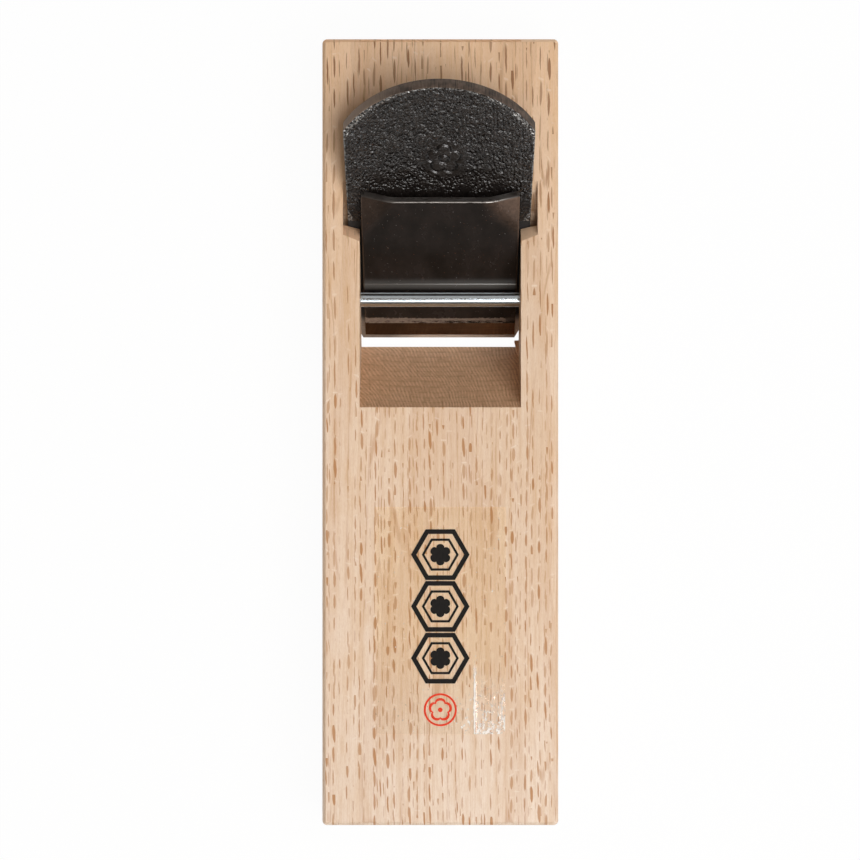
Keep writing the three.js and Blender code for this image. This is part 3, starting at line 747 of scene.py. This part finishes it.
def film_milk_and_highlight(nodes, place, ragged, net):
    """How far the film is lifted, and how milky it is: where it has lifted, along the blister's left
    ridge, and in flecks and bubbles beside it. The milkiness is partly painted highlight."""
    x, y, _ = place.split()
    right, bottom = LABEL_HALF.x / MM, -LABEL_HALF.y / MM
    left, top = (BLISTER_LEFT - LABEL_MIDDLE.x) / MM, (BLISTER_TOP - LABEL_MIDDLE.y) / MM
    lifted = x.ramp(left + LIFT_FROM, left + LIFT_FULL)
    lifted = lifted * (ragged * LIFT_RAGGED + y).ramp(top, top - LIFT_LENGTH)
    creases = abs(net - 0.5).ramp(0.016, 0.006)
    creases = creases * place.noise(CREASE_PATCH_SIZE, 1.0).ramp(0.4, 0.6)
    near_bottom = y.ramp(bottom + DENSE_BOTTOM_FROM, bottom + DENSE_BOTTOM_FULL)
    near_right = x.ramp(right - DENSE_RIGHT_FROM, right - DENSE_RIGHT_FULL, 0.0, 0.7)
    dense = near_bottom.at_least(near_right) * ragged.ramp(0.5, 0.56)
    ridge = abs(x - (left + RIDGE_PLACE)) - ragged.ramp(0.4, 0.7, 0.0, RIDGE_RAGGED)
    ridge = ridge.ramp(RIDGE_REACH, RIDGE_CORE) * y.ramp(top + RIDGE_ABOVE, top - RIDGE_BELOW)
    # The milky white is partly painted highlight on the creases and the ridge.
    white = lifted * (creases * 0.75).at_least(dense) + ridge * 0.9
    beside = x.ramp(left - FLECKS_LEFT, left) * y.ramp(bottom + FLECKS_ABOVE, bottom + FLECKS_FULL)
    flecks = (beside * 0.12 + place.noise(FLECK_SIZE, 2.0, 0.6)).ramp(0.72, 0.75)
    white = (flecks * 0.9).at_least(white)
    bubbles = dots(nodes, place, cell=1.9, radius=0.16, seed=5.0)
    bubbles = bubbles * y.ramp(top + BUBBLES_ABOVE, top - BUBBLES_FULL)
    return lifted, nodes.math("MINIMUM", bubbles * 0.6 + white, 0.9)


def clear_film():
    """Clear gloss film. A mirror at a low share stands for its gloss, so that it hides nothing. Where it
    has lifted it is finely creased, and milky along its edges, which is partly painted highlight on the
    creases and the ridge."""
    nodes = Nodes("clear_film")
    place = nodes.place()
    ragged = place.noise(RAGGED_FILM_SIZE, 3.0)
    net = place.noise(CREASE_NET_SIZE, 2.0, 0.5)
    lifted, white = film_milk_and_highlight(nodes, place, ragged, net)
    return nodes.finish(
        Base_Color=srgb(255, 250, 244),
        Alpha=ragged.ramp(0.2, 0.8, 0.034, 0.046) + white,
        Metallic=white.ramp(0.01, 0.0),
        Roughness=white * 0.9 + 0.05,
        Normal=(lifted * net).bump(depth=0.04 * MM, strength=0.5),
    )


def ink(name, colour, thin):
    nodes = Nodes(name)
    cover = nodes.place().noise(INK_SIZE, 3.0)
    base = nodes.mix(cover.ramp(0.2, 0.8), colour, thin)
    return nodes.finish(Base_Color=base, Roughness=0.6, Specular_IOR_Level=0.15)


# Helpers for meshes

def new_piece(name, mesh, materials, body, replaces=(), matrix=None):
    piece = bpy.data.objects.new(name, mesh)
    bpy.context.collection.objects.link(piece)
    for material in materials:
        mesh.materials.append(material)
    if matrix is not None:
        piece.matrix_world = matrix
    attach(piece, body)
    if replaces:
        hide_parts(*replaces)


def smooth_by_angle(mesh, angle):
    mesh.shade_smooth()
    mesh.set_sharp_from_angle(angle=angle)


def mesh_from(name, vertices, faces, zones=None):
    mesh = bpy.data.meshes.new(name)
    mesh.from_pydata(vertices, [], faces)
    if zones is not None:
        mesh.polygons.foreach_set("material_index", zones)
    mesh.validate()
    mesh.update()
    smooth_by_angle(mesh, PLATE_SHARP_ANGLE)
    return mesh


def finished_mesh(work, name):
    """The work mesh as a named mesh, with its normals outward."""
    bmesh.ops.recalc_face_normals(work, faces=work.faces)
    mesh = bpy.data.meshes.new(name)
    work.to_mesh(mesh)
    work.free()
    return mesh


def join_rings(work, rings):
    """The faces between each ring of vertices and the next. A ring may be a single point."""
    faces = []
    for low, high in zip(rings, rings[1:]):
        count = max(len(low), len(high))
        for side in range(count):
            after = (side + 1) % count
            corners = [low[side % len(low)], low[after % len(low)]]
            corners += [high[after % len(high)], high[side % len(high)]]
            faces.append(work.faces.new(list(dict.fromkeys(corners))))
    return faces


def rounded(count):
    """Steps of a quarter turn, as pairs of sine and 1 minus cosine."""
    turns = [math.pi / 2 * step / count for step in range(count + 1)]
    return [(math.sin(turn), 1 - math.cos(turn)) for turn in turns]


def spread(start, end, count):
    """Even steps from start up to end, without the last."""
    return [start + (end - start) * step / count for step in range(count)]


def plate_columns(count, radius):
    """Columns from the left side of a plate to its right: a share of the flat part's half width, a
    way past it, and how far the plate's faces draw in there."""
    edge = [(radius * out, radius * back) for out, back in rounded(CORNER_STEPS)]
    left = [(-1.0, -out, inset) for out, inset in reversed(edge)]
    flat = [(-1 + 2 * step / count, 0.0, 0.0) for step in range(1, count)]
    right = [(1.0, out, inset) for out, inset in edge]
    return left + flat + right


def plate_mesh(name, count, radius, section, half_width, lift=None, lifted=(FACE,)):
    """A plate swept from side to side. section(x, inset) gives the outline at one column as rows of
    (y, z, zone), and lift(x, y) moves the points of the lifted zones up or down."""
    columns = plate_columns(count, radius)
    vertices = []
    for share, past, inset in columns:
        middle = share * (half_width(CHIP_LENGTH / 2) - radius) + past
        outline = section(middle, inset)
        for y, z, zone in outline:
            x = share * (half_width(y) - radius) + past
            rise = lift(x, y) if lift and zone in lifted else 0.0
            vertices.append((x, y, z + rise))
    rows = len(outline)
    faces = []
    face_zones = []
    for column in range(len(columns) - 1):
        for row in range(rows):
            after = (row + 1) % rows
            first = column * rows
            second = first + rows
            faces.append((first + row, first + after, second + after, second + row))
            face_zones.append(outline[row][-1])
    last = (len(columns) - 1) * rows
    faces.append(tuple(range(rows - 1, -1, -1)))
    faces.append(tuple(range(last, last + rows)))
    face_zones.extend([SIDES, SIDES])
    return mesh_from(name, vertices, faces, face_zones)


# The block is the solid's own shape with a chamfered head, softened edges and a ragged bit at the mouth.

def make_block():
    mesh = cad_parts["block"].data.copy()
    mesh.name = "wood_block"
    mesh.materials.clear()
    work = bmesh.new()
    work.from_mesh(mesh)
    bmesh.ops.remove_doubles(work, verts=work.verts, dist=WELD_DISTANCE)
    bmesh.ops.dissolve_limit(work, angle_limit=FLAT_ANGLE, verts=work.verts, edges=work.edges)
    chamfer_head(work)
    for face in work.faces:
        face.material_index = int(face.normal.y > CUT_LEAN_SHARE and face.normal.z > CUT_RISE_SHARE)
    soften_edges(work)
    add_ragged_bit(work)
    work.to_mesh(mesh)
    work.free()
    planed = oak_material("oak_planed", *OAK_COLOURS)
    cut = oak_material("oak_cut", *CUT_OAK_COLOURS, cut=True)
    new_piece("wood_block", mesh, [planed, cut], "block", ["block"])
    smooth_by_angle(mesh, BLOCK_SHARP_ANGLE)


def chamfer_head(work):
    """Break the upper edge of the head's end with a plane."""
    edges = []
    for edge in work.edges:
        ends = [vertex.co for vertex in edge.verts]
        if all(end.y > block_high.y - AT_SURFACE and end.z > BLOCK_TOP - AT_SURFACE for end in ends):
            edges.append(edge)
    bevel(work, edges, HEAD_CHAMFER, segments=1)


def soften_edges(work):
    """Round the outward edges, apart from those at the narrow mouth, which stay as they are."""
    chosen = []
    for edge in work.edges:
        if len(edge.link_faces) != 2 or not edge.is_convex:
            continue
        ends = [vertex.co for vertex in edge.verts]
        inside = all(abs(end.x) < block_high.x - NEAR_OUTSIDE for end in ends)
        inside = inside and all(abs(end.y) < block_high.y - NEAR_OUTSIDE for end in ends)
        at_mouth = inside and min(end.z for end in ends) < MOUTH_BAND
        if edge.calc_face_angle() > SOFT_EDGE_ANGLE and not at_mouth:
            chosen.append(edge)
    bevel(work, chosen, EDGE_SOFTENING, segments=3)


def bevel(work, edges, offset, segments):
    settings = {"offset_type": "OFFSET", "profile": 0.5, "affect": "EDGES", "clamp_overlap": True}
    bmesh.ops.bevel(work, geom=edges, offset=offset, segments=segments, **settings)


# The ragged bit's corner in the walls, its outline as seen from above, and its rings: each one's height,
# its corner's place along the block, and its share of the outline's size. All are in millimetres.

BIT_CORNER = (20.6, 20.9)
BIT_OUTLINE = [(19.4, 23.9), (19.35, 23.4), (19.55, 23.1), (19.5, 22.8), (19.75, 22.4), (19.6, 20.9)]
BIT_OUTLINE += [BIT_CORNER, (20.6, 23.95)]
BIT_RINGS = ((0.1, 22.1, 0.08), (2.2, 20.9, 1.0), (4.4, 19.7, 0.35))


def add_ragged_bit(work):
    """A ragged bit of wood that the saw left in the throat's front right corner. It is widest just above
    the mouth, and draws in below that, clear of the blades at their lowest."""
    corner_x, corner_y = BIT_CORNER
    rings = []
    for height, inner_y, share in BIT_RINGS:
        ring = []
        for x, y in BIT_OUTLINE:
            place = (corner_x + share * (x - corner_x), inner_y + share * (y - corner_y), height)
            ring.append(work.verts.new([length * MM for length in place]))
        rings.append(ring)
    faces = [work.faces.new(rings[0]), work.faces.new(rings[-1]), *join_rings(work, rings)]
    for face in faces:
        face.material_index = 1
    bmesh.ops.recalc_face_normals(work, faces=faces)


# The blade, from its cutting edge at y = 0, with its face at z = 0

def blade_half(y):
    """Half the blade's width: a straight taper up to the shoulders, and cut corners at the edge."""
    arc_middle = BLADE_LENGTH - BLADE_HEAD_RADIUS
    shoulder_y = arc_middle + math.sqrt(BLADE_HEAD_RADIUS**2 - BLADE_SHOULDER_HALF**2)
    tapered_y = min(max(y, CORNER_CUT_RISE), shoulder_y)
    half = BLADE_SHOULDER_HALF - BLADE_SIDE_TAPER_SHARE * (shoulder_y - tapered_y)
    share = min(1.0, y / CORNER_CUT_RISE)
    return CUTTING_EDGE_HALF + (half - CUTTING_EDGE_HALF) * share


def head_reach(x):
    inside = max(0.0, BLADE_HEAD_RADIUS**2 - x**2)
    return BLADE_LENGTH - BLADE_HEAD_RADIUS + math.sqrt(inside)


def blade_bottom(y):
    """The underside below the face, from the ground bevel to the head."""
    return -min(y * math.tan(BLADE_BEVEL_ANGLE), BLADE_EDGE_THICKNESS + y * BLADE_TAPER)


def pebbles(x, y):
    """The relief of the forged face, in metres."""
    at = Vector((x, y, 0))
    near, second = noise.voronoi(at / PEBBLE_SIZE)[0][:2]
    stones = min(1.0, (second - near) * 1.6)
    swell = noise.noise(at / SWELL_SIZE)
    grit = noise.noise(at / GRIT_SIZE)
    return PEBBLE_HEIGHT * stones + SWELL_HEIGHT * swell + GRIT_HEIGHT * grit


def petal_reach(radius, count, turn, notch_share, roundness):
    """How far a flower of this many petals reaches from its middle at the angle turn."""
    return radius * (1 - notch_share + notch_share * abs(math.cos(count / 2 * turn)) ** roundness)


def blossom(x, y):
    """How far a point lies in the grooves of the stamped five-petal blossom, from 0 to 1."""
    dx, dy = x - BLOSSOM_X, y - BLOSSOM_Y
    distance = math.hypot(dx, dy)
    turn = math.atan2(dx, dy)
    petal = petal_reach(BLOSSOM_RADIUS, 5, turn, BLOSSOM_NOTCH_SHARE, roundness=0.7)
    heart = BLOSSOM_RADIUS * BLOSSOM_HEART_SHARE
    return max(math.exp(-(((distance - line) / BLOSSOM_LINE) ** 2)) for line in (petal, heart))


def face_relief(x, y):
    """The forged face's height: pebbles that grow towards the head, calmer round the stamp."""
    share = min(1.0, max(0.0, (y - PEBBLES_START) / PEBBLES_FADE))
    stamped = blossom(x, y)
    near = math.hypot(x - BLOSSOM_X, y - BLOSSOM_Y) / BLOSSOM_RADIUS
    calm = 0.4 + 0.6 * min(1.0, max(0.0, 2 * (near - 1)))
    return share * ((1 - stamped) * calm * (pebbles(x, y) - PEBBLES_LEVEL) - stamped * BLOSSOM_DEPTH)


def iron_section(x, inset):
    radius = BLADE_EDGE_RADIUS
    join = BLADE_STEEL_LENGTH + SEAM
    start = BLADE_STEEL_THICKNESS / math.tan(BLADE_BEVEL_ANGLE)
    bevel_end = BLADE_EDGE_THICKNESS / math.tan(BLADE_BEVEL_ANGLE)
    head = head_reach(x)
    turn = rounded(HEAD_CORNER_STEPS)
    bottom = blade_bottom(head) + inset
    rows = [(y, -inset, FACE) for y in spread(join, head - radius, IRON_ROWS)]
    rows += [(head - radius + radius * out, -inset - radius * back, SIDES) for out, back in turn]
    rows += [(head - radius * back, bottom + radius * (1 - out), SIDES) for out, back in turn]
    back_rows = spread(bevel_end, head - radius, IRON_BACK_ROWS)[1:]
    rows += [(y, blade_bottom(y) + inset, BACK) for y in reversed(back_rows)]
    rows += [(bevel_end, blade_bottom(bevel_end) + inset, BEVEL)]
    rows += [(start, -BLADE_STEEL_THICKNESS, BACK), (join, -BLADE_STEEL_THICKNESS, BACK)]
    return rows


def make_blade_iron():
    mesh = plate_mesh("blade_body", IRON_COLUMNS, BLADE_EDGE_RADIUS, iron_section, blade_half, face_relief)
    stamped = mesh.attributes.new("stamped", "FLOAT", "POINT")
    stamped.data.foreach_set("value", [blossom(vertex.co.x, vertex.co.y) for vertex in mesh.vertices])
    ground = ground_steel("ground_iron", srgb(150, 146, 142), srgb(96, 92, 88), roughness=0.34)
    materials = [forged_black(), rim_iron(), iron_underside(), ground]
    new_piece("blade_body", mesh, materials, "blade", ["blade_iron_body"], BLADE_FRAME)


def face_hollow(x, y):
    """The shallow hollow in the steel's face, as a negative height."""
    reach_x = CUTTING_EDGE_HALF - FACE_HOLLOW_RIM / 2
    reach_y = BLADE_STEEL_LENGTH / 2 - FACE_HOLLOW_RIM
    share = 1 - (x / reach_x) ** 2 - ((y - BLADE_STEEL_LENGTH / 2) / reach_y) ** 2
    return -FACE_HOLLOW_DEPTH * max(0.0, share)


def steel_section(_, inset):
    below = SEAM - BLADE_STEEL_THICKNESS
    start = -below / math.tan(BLADE_BEVEL_ANGLE)
    rows = [(y, -inset, FACE) for y in spread(0.0, BLADE_STEEL_LENGTH, STEEL_ROWS)]
    rows += [(BLADE_STEEL_LENGTH, -inset, SIDES), (BLADE_STEEL_LENGTH, below, SIDES), (start, below, SIDES)]
    return rows


def make_blade_steel():
    radius = BLADE_STEEL_EDGE_RADIUS
    mesh = plate_mesh("blade_steel", STEEL_COLUMNS, radius, steel_section, blade_half, face_hollow)
    colours = (srgb(206, 199, 192), srgb(166, 160, 153))
    materials = [
        # Painted light on the face's steel: bright in the middle and at the right, darker at the left.
        ground_steel("face_steel", *colours, roughness=0.5, scale_from=6.5, painted_light_shares=(0.68, 1.5, 1.3)),
        ground_steel("bevel_steel", srgb(204, 202, 198), srgb(160, 157, 152), roughness=0.22),
    ]
    new_piece("blade_steel", mesh, materials, "blade", ["blade_steel_face"], BLADE_FRAME)


# The chipbreaker, from its edge at y = 0, with the blade's face at z = 0

def chip_half(y):
    half = CHIP_EDGE_HALF + (CHIP_TOP_HALF - CHIP_EDGE_HALF) * y / CHIP_LENGTH
    into_corner = max(0.0, y - (CHIP_LENGTH - CHIP_CORNER_RADIUS))
    inside = max(0.0, CHIP_CORNER_RADIUS**2 - into_corner**2)
    return half - CHIP_CORNER_RADIUS + math.sqrt(inside)


def ear_fold(x, y):
    """How far the bent corners go down, as a negative height. Their tips rest on the blade."""
    across = (abs(x) - (CHIP_TOP_HALF - EAR_WIDTH)) / EAR_WIDTH
    along = (y - (CHIP_LENGTH - EAR_LENGTH)) / EAR_LENGTH
    past = max(0.0, across + along - 1)
    half = EAR_BEND_SHARE / 2
    bend = past**2 / (2 * EAR_BEND_SHARE) if past < EAR_BEND_SHARE else past - half
    return -CHIP_LENGTH * math.tan(CHIP_TILT) * bend / (1 - half)


def chip_under(y):
    return CHIP_FACE_GAP + y * math.tan(CHIP_TILT)


def chip_top(y):
    line = [
        (0.0, CHIP_FACE_GAP + CHIP_EDGE_LAND),
        (CHIP_BEVEL_LENGTH, CHIP_FACE_GAP + CHIP_BEVEL_HEIGHT),
        (CHIP_GROUND_LENGTH, CHIP_FACE_GAP + CHIP_GROUND_HEIGHT),
        (CHIP_SHOULDER_LENGTH, chip_under(CHIP_SHOULDER_LENGTH) + CHIP_THICKNESS),
        (CHIP_LENGTH, chip_under(CHIP_LENGTH) + CHIP_THICKNESS),
    ]
    return float(np.interp(y, [at for at, _ in line], [height for _, height in line]))


def layer_front():
    """Where the steel layer's upper side comes out through the chipbreaker's top, found by halving."""
    low, high = CHIP_BEVEL_LENGTH, CHIP_SHOULDER_LENGTH
    for _ in range(FRONT_HALVINGS):
        middle = (low + high) / 2
        if chip_top(middle) > chip_under(middle) + CHIP_LAYER_THICKNESS:
            high = middle
        else:
            low = middle
    return high


def shoulder_bead(y):
    """A fine raised line that the grinding left on the shoulder."""
    return BEAD_HEIGHT * math.exp(-(((y - CHIP_SHOULDER_LENGTH) / BEAD_HALF) ** 2))


def chip_section(_, inset):
    radius = CHIP_EDGE_RADIUS
    front = layer_front() + SEAM
    step = CHIP_LAYER_LENGTH + SEAM
    bead = (CHIP_SHOULDER_LENGTH - 3 * BEAD_HALF, CHIP_SHOULDER_LENGTH + 3 * BEAD_HALF)
    stops = (front, CHIP_GROUND_LENGTH, *bead, CHIP_LENGTH - radius)
    rows = []
    for start, end, count in zip(stops, stops[1:], CHIP_TOP_ROWS):
        for y in spread(start, end, count):
            drop = inset if y > CHIP_GROUND_LENGTH else min(inset, CHIP_GROUND_EDGE_RADIUS)
            rows.append((y, chip_top(y) + shoulder_bead(y) - drop, FACE))
    head = chip_top(CHIP_LENGTH) - inset
    foot = chip_under(CHIP_LENGTH) + inset
    turn = rounded(CORNER_STEPS)
    rows += [(stops[-1] + radius * out, head - radius * back, UPPER_EDGE) for out, back in turn]
    rows += [(CHIP_LENGTH - radius * back, foot + radius * (1 - out), SIDES) for out, back in turn]
    under = spread(step, stops[-1], CHIP_UNDER_ROWS)
    rows += [(y, chip_under(y) + inset, SIDES) for y in reversed(under)]
    rows += [(y, chip_under(y) + CHIP_LAYER_THICKNESS, SIDES) for y in (step, front)]
    return rows


def make_chipbreaker_body():
    zones = (FACE, SIDES, UPPER_EDGE)
    radius = CHIP_EDGE_RADIUS
    mesh = plate_mesh("chipbreaker_body", CHIP_COLUMNS, radius, chip_section, chip_half, ear_fold, zones)
    materials = [satin_black(), iron_underside(), worn_edge()]
    nodes = ["chipbreaker_iron_body"]
    new_piece("chipbreaker_body", mesh, materials, "chipbreaker", nodes, CHIP_FRAME)


def layer_section(_, inset):
    front = layer_front()
    tops = spread(0.0, CHIP_BEVEL_LENGTH, LAYER_BEVEL_ROWS) + [CHIP_BEVEL_LENGTH, front]
    rows = [(y, chip_top(y) - inset, FACE) for y in tops]
    for y in (front + SEAM, CHIP_LAYER_LENGTH):
        rows.append((y, chip_under(y) + CHIP_LAYER_THICKNESS - SEAM, SIDES))
    under = spread(0.0, CHIP_LAYER_LENGTH, LAYER_UNDER_ROWS)
    rows += [(y, chip_under(y), SIDES) for y in reversed(under)]
    return rows


def make_chipbreaker_layer():
    mesh = plate_mesh("chipbreaker_layer", LAYER_COLUMNS, CHIP_GROUND_EDGE_RADIUS, layer_section, chip_half)
    colours = (srgb(116, 100, 88), srgb(84, 72, 64))
    materials = [
        # Painted reflection on the polished bevel: brightest at the right, darker at the left.
        ground_steel("polished_bevel", *colours, roughness=0.1, painted_light_shares=(0.65, 0.92, 1.8)),
        ground_steel("layer_underside", srgb(176, 170, 164), srgb(120, 116, 112), roughness=0.3),
    ]
    nodes = ["chipbreaker_steel_edge"]
    new_piece("chipbreaker_layer", mesh, materials, "chipbreaker", nodes, CHIP_FRAME)


# The pin

def make_pin():
    low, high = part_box("retaining_pin")
    radius = (high.z - low.z) / 2
    half = (high.x - low.x) / 2
    flat_half = half - PIN_CHAMFER
    profile = [(-half, 0.0), (-half, radius - PIN_CHAMFER), (-flat_half, radius)]
    profile += [(at, radius) for at in spread(-flat_half, flat_half, PIN_ROWS)[1:]]
    profile += [(flat_half, radius), (half, radius - PIN_CHAMFER), (half, 0.0)]
    work = bmesh.new()
    rings = []
    for x, reach in profile:
        turns = [2 * math.pi * side / PIN_SIDES for side in range(PIN_SIDES)] if reach else [0.0]
        rings.append([work.verts.new((x, reach * math.cos(t), reach * math.sin(t))) for t in turns])
    join_rings(work, rings)
    mesh = finished_mesh(work, "cross_pin")
    smooth_by_angle(mesh, PIN_SHARP_ANGLE)
    place = Matrix.Translation((low + high) / 2)
    new_piece("cross_pin", mesh, [bright_rod()], "block", ["retaining_pin"], place)


# The label: two generic printed marks under a clear film that has lifted a little in one corner.

def blister_rise(x, y):
    """How far the film stands up, as a share of its thickness: soft wrinkles where it has lifted, and a
    ridge along their left side."""
    wave_x, wave_y = BLISTER_WAVE
    waves = 0.5 + 0.5 * noise.noise(Vector((x / wave_x, y / wave_y, 0.0)))
    into_x = min(1.0, max(0.0, (x - BLISTER_LEFT) / BLISTER_SIDE))
    into_y = min(1.0, max(0.0, (BLISTER_TOP - y) / BLISTER_RUN))
    ridge = math.exp(-(((x - BLISTER_LEFT - BLISTER_SIDE) / BLISTER_RIDGE_HALF) ** 2))
    return into_y * BLISTER_RISE_SHARE * (into_x * waves + ridge)


def film_half(y):
    """Half the film's width, with its rounded corners."""
    into = max(0.0, abs(y) - (LABEL_HALF.y - LABEL_CORNER))
    return LABEL_HALF.x - LABEL_CORNER + math.sqrt(max(0.0, LABEL_CORNER**2 - into**2))


def make_film():
    thick = 2 * LABEL_HALF.z
    vertices = []
    for layer in (0, 1):
        for row in range(FILM_ROWS + 1):
            y = (2 * row / FILM_ROWS - 1) * LABEL_HALF.y
            for column in range(FILM_COLUMNS + 1):
                x = (2 * column / FILM_COLUMNS - 1) * film_half(y)
                rise = LABEL_REST_SHARE + LABEL_THICK_SHARE * layer + blister_rise(x, LABEL_MIDDLE.y + y)
                vertices.append((x, y, (rise - 1) * thick))
    wide = FILM_COLUMNS + 1
    layer_size = wide * (FILM_ROWS + 1)
    faces = []
    for at in range(layer_size - wide):
        if at % wide < FILM_COLUMNS:
            quad = (at, at + 1, at + wide + 1, at + wide)
            faces.append(quad[::-1])
            faces.append(tuple(layer_size + corner for corner in quad))
    border = list(range(FILM_COLUMNS))
    border += [row * wide + FILM_COLUMNS for row in range(FILM_ROWS)]
    border += [FILM_ROWS * wide + column for column in range(FILM_COLUMNS, 0, -1)]
    border += [row * wide for row in range(FILM_ROWS, 0, -1)]
    for first, second in zip(border, border[1:] + border[:1]):
        faces.append((first, second, layer_size + second, layer_size + first))
    mesh = mesh_from("film", vertices, faces)
    place = Matrix.Translation((LABEL_MIDDLE.x, LABEL_MIDDLE.y, label_high.z))
    new_piece("film", mesh, [clear_film()], "block", ["label_film"], place)


def flat_mark(work, outer, inner=()):
    """A thin printed shape in the work mesh: an outline, or the band between two outlines."""
    rings = []
    for height in (0.0, MARK_THICKNESS):
        for line in (outer, inner):
            rings.append([work.verts.new((x, y, height)) for x, y in line])
    low_out, low_in, high_out, high_in = rings
    if inner:
        join_rings(work, (low_out, high_out, high_in, low_in, low_out))
    else:
        join_rings(work, (low_out, high_out))
        work.faces.new(low_out)
        work.faces.new(high_out)


def polygon(x, y, radius, sides, turn=0.0):
    turns = [turn + 2 * math.pi * side / sides for side in range(sides)]
    return [(x + radius * math.sin(t), y + radius * math.cos(t)) for t in turns]


def petals(x, y, radius, count):
    outline = []
    for point in range(PETAL_POINTS):
        turn = 2 * math.pi * point / PETAL_POINTS
        reach = petal_reach(radius, count, turn, PETAL_NOTCH_SHARE, roundness=0.6)
        outline.append((x + reach * math.sin(turn), y + reach * math.cos(turn)))
    return outline


def make_hexagons(x, middle_y):
    """A column of tortoiseshell hexagons in black."""
    work = bmesh.new()
    radius = HEXAGON_RADIUS
    turn = math.pi / 6
    step = 2 * radius * math.cos(turn)
    for place in HEXAGON_PLACES:
        y = middle_y + place * step
        for outer, inner in HEXAGON_BAND_SHARES:
            flat_mark(work, polygon(x, y, radius * outer, 6, turn), polygon(x, y, radius * inner, 6, turn))
        flat_mark(work, petals(x, y, radius * HEXAGON_HEART_SHARE, 6))
    finish_mark(work, "mark_black", ink("ink_black", srgb(13, 10, 9), srgb(25, 21, 18)))


def make_seal(x, y):
    """A small red blossom in a ring."""
    work = bmesh.new()
    radius = SEAL_RADIUS
    outer, inner = SEAL_PETAL_SHARES
    flat_mark(work, polygon(x, y, radius, RING_SIDES), polygon(x, y, radius * SEAL_BAND_SHARE, RING_SIDES))
    flat_mark(work, petals(x, y, radius * outer, 5), petals(x, y, radius * inner, 5))
    flat_mark(work, polygon(x, y, radius * SEAL_HEART_SHARE, DOT_SIDES))
    finish_mark(work, "mark_red", ink("ink_red", srgb(226, 52, 26), srgb(232, 78, 50)))


def finish_mark(work, name, material):
    mesh = finished_mesh(work, name)
    place = Matrix.Translation((0, 0, label_high.z))
    new_piece(name, mesh, [material], "block", (), place)


def make_marks():
    make_hexagons(LABEL_MIDDLE.x, LABEL_MIDDLE.y)
    make_seal(LABEL_MIDDLE.x, LABEL_MIDDLE.y - SEAL_DROP)


# The camera, the stage and the lights. The camera looks straight down from about a metre above the block.

WHITE = (1.0, 1.0, 1.0, 1.0)
ROOM_TINT = (1.0, 0.82, 0.68, 1.0)
BACKDROP_TOP, BACKDROP_END = 0.11, 0.14  # the height at which the world's backdrop ends, as a sine
ROOM_LEVEL, ROOM_LEVEL_RISE = 0.05, 0.22


def make_camera():
    data = bpy.data.cameras.new("camera")
    data.sensor_width = SENSOR_WIDTH / MM
    data.lens = data.sensor_width * PIXELS_PER_UNIT_SLOPE / FRAME_PIXELS
    camera = bpy.data.objects.new("camera", data)
    camera.location = (CAMERA_X, CAMERA_Y, CAMERA_HEIGHT)
    bpy.context.collection.objects.link(camera)
    bpy.context.scene.camera = camera


def background_rays(nodes):
    """1 for the rays that show the background: the camera's, and those that metal and glass send on."""
    seen = nodes.add("LightPath", output="Is Camera Ray")
    return seen.at_least(seen.other("Is Glossy Ray")).at_least(seen.other("Is Transmission Ray"))


def make_floor():
    """A pale floor that shows nearly white, and keeps a share of the block's shadow."""
    mesh = bpy.data.meshes.new("floor")
    corners = [(FLOOR_HALF * x, FLOOR_HALF * y, 0) for x, y in ((-1, -1), (1, -1), (1, 1), (-1, 1))]
    mesh.from_pydata(corners, [], [(0, 1, 2, 3)])
    floor = bpy.data.objects.new("floor", mesh)
    bpy.context.collection.objects.link(floor)
    floor.location.z = -FLOOR_DROP
    nodes = Nodes("floor")
    nodes.finish(Base_Color=(0.9, 0.9, 0.9, 1), Roughness=0.9, Specular_IOR_Level=0.0)
    plain = Value(nodes, nodes.shader.outputs[0])
    glow = nodes.add("Emission", {"Color": WHITE, "Strength": 1.0})
    mixed = nodes.add("MixShader", {0: background_rays(nodes) * FLOOR_WHITE_SHARE, 1: plain, 2: glow})
    nodes.put(nodes.tree.nodes["Material Output"].inputs["Surface"], mixed)
    mesh.materials.append(nodes.material)


def make_room():
    """A white backdrop low round the stage, and above it a dim warm room that is lighter overhead."""
    nodes = Nodes("studio", world=True)
    bpy.context.scene.world = nodes.material
    rise = nodes.add("TexCoord", output="Generated").split()[2]
    shown = background_rays(nodes) * rise.ramp(BACKDROP_END, BACKDROP_TOP)
    level = rise.at_least(0.0) * ROOM_LEVEL_RISE + ROOM_LEVEL
    nodes.finish(Strength=shown * (1.0 - level) + level, Color=nodes.mix(shown, ROOM_TINT, WHITE))


def make_lamp(name, place, size, power):
    """A rectangular lamp that faces the block. Its first size is along X."""
    data = bpy.data.lights.new(name, "AREA")
    data.shape = "RECTANGLE"
    data.size, data.size_y = size
    data.energy = power
    lamp = bpy.data.objects.new(name, data)
    bpy.context.collection.objects.link(lamp)
    back = Vector(place).normalized()
    side = Vector((0, 1, 0)).cross(back).normalized()
    turn = Matrix((side, back.cross(side), back)).transposed()
    lamp.matrix_world = Matrix.Translation(place) @ turn.to_4x4()


def make_lights():
    """A large soft box above and to the right, a strip with a dim surround towards the tail and a dim card
    towards the head for the pin's highlights, and a weaker soft box at the lower right."""
    make_lamp("large_box", place=(0.43, -0.18, 1.33), size=(0.72, 1.0), power=14.0)
    make_lamp("strip", place=(0.0, -0.7, 1.33), size=(0.3, 0.2), power=0.85)
    make_lamp("strip_surround", place=(0.0, -0.72, 1.33), size=(0.3, 0.8), power=0.5)
    make_lamp("head_card", place=(0.0, 1.2, 1.33), size=(0.4, 1.2), power=0.5)
    make_lamp("soft_box", place=(0.75, -0.55, 0.95), size=(0.7, 0.7), power=1.9)


make_camera()
make_floor()
make_room()
make_lights()
make_block()
make_blade_iron()
make_blade_steel()
make_chipbreaker_body()
make_chipbreaker_layer()
make_pin()
make_film()
make_marks()

bpy.context.scene.view_settings.view_transform = "Standard"
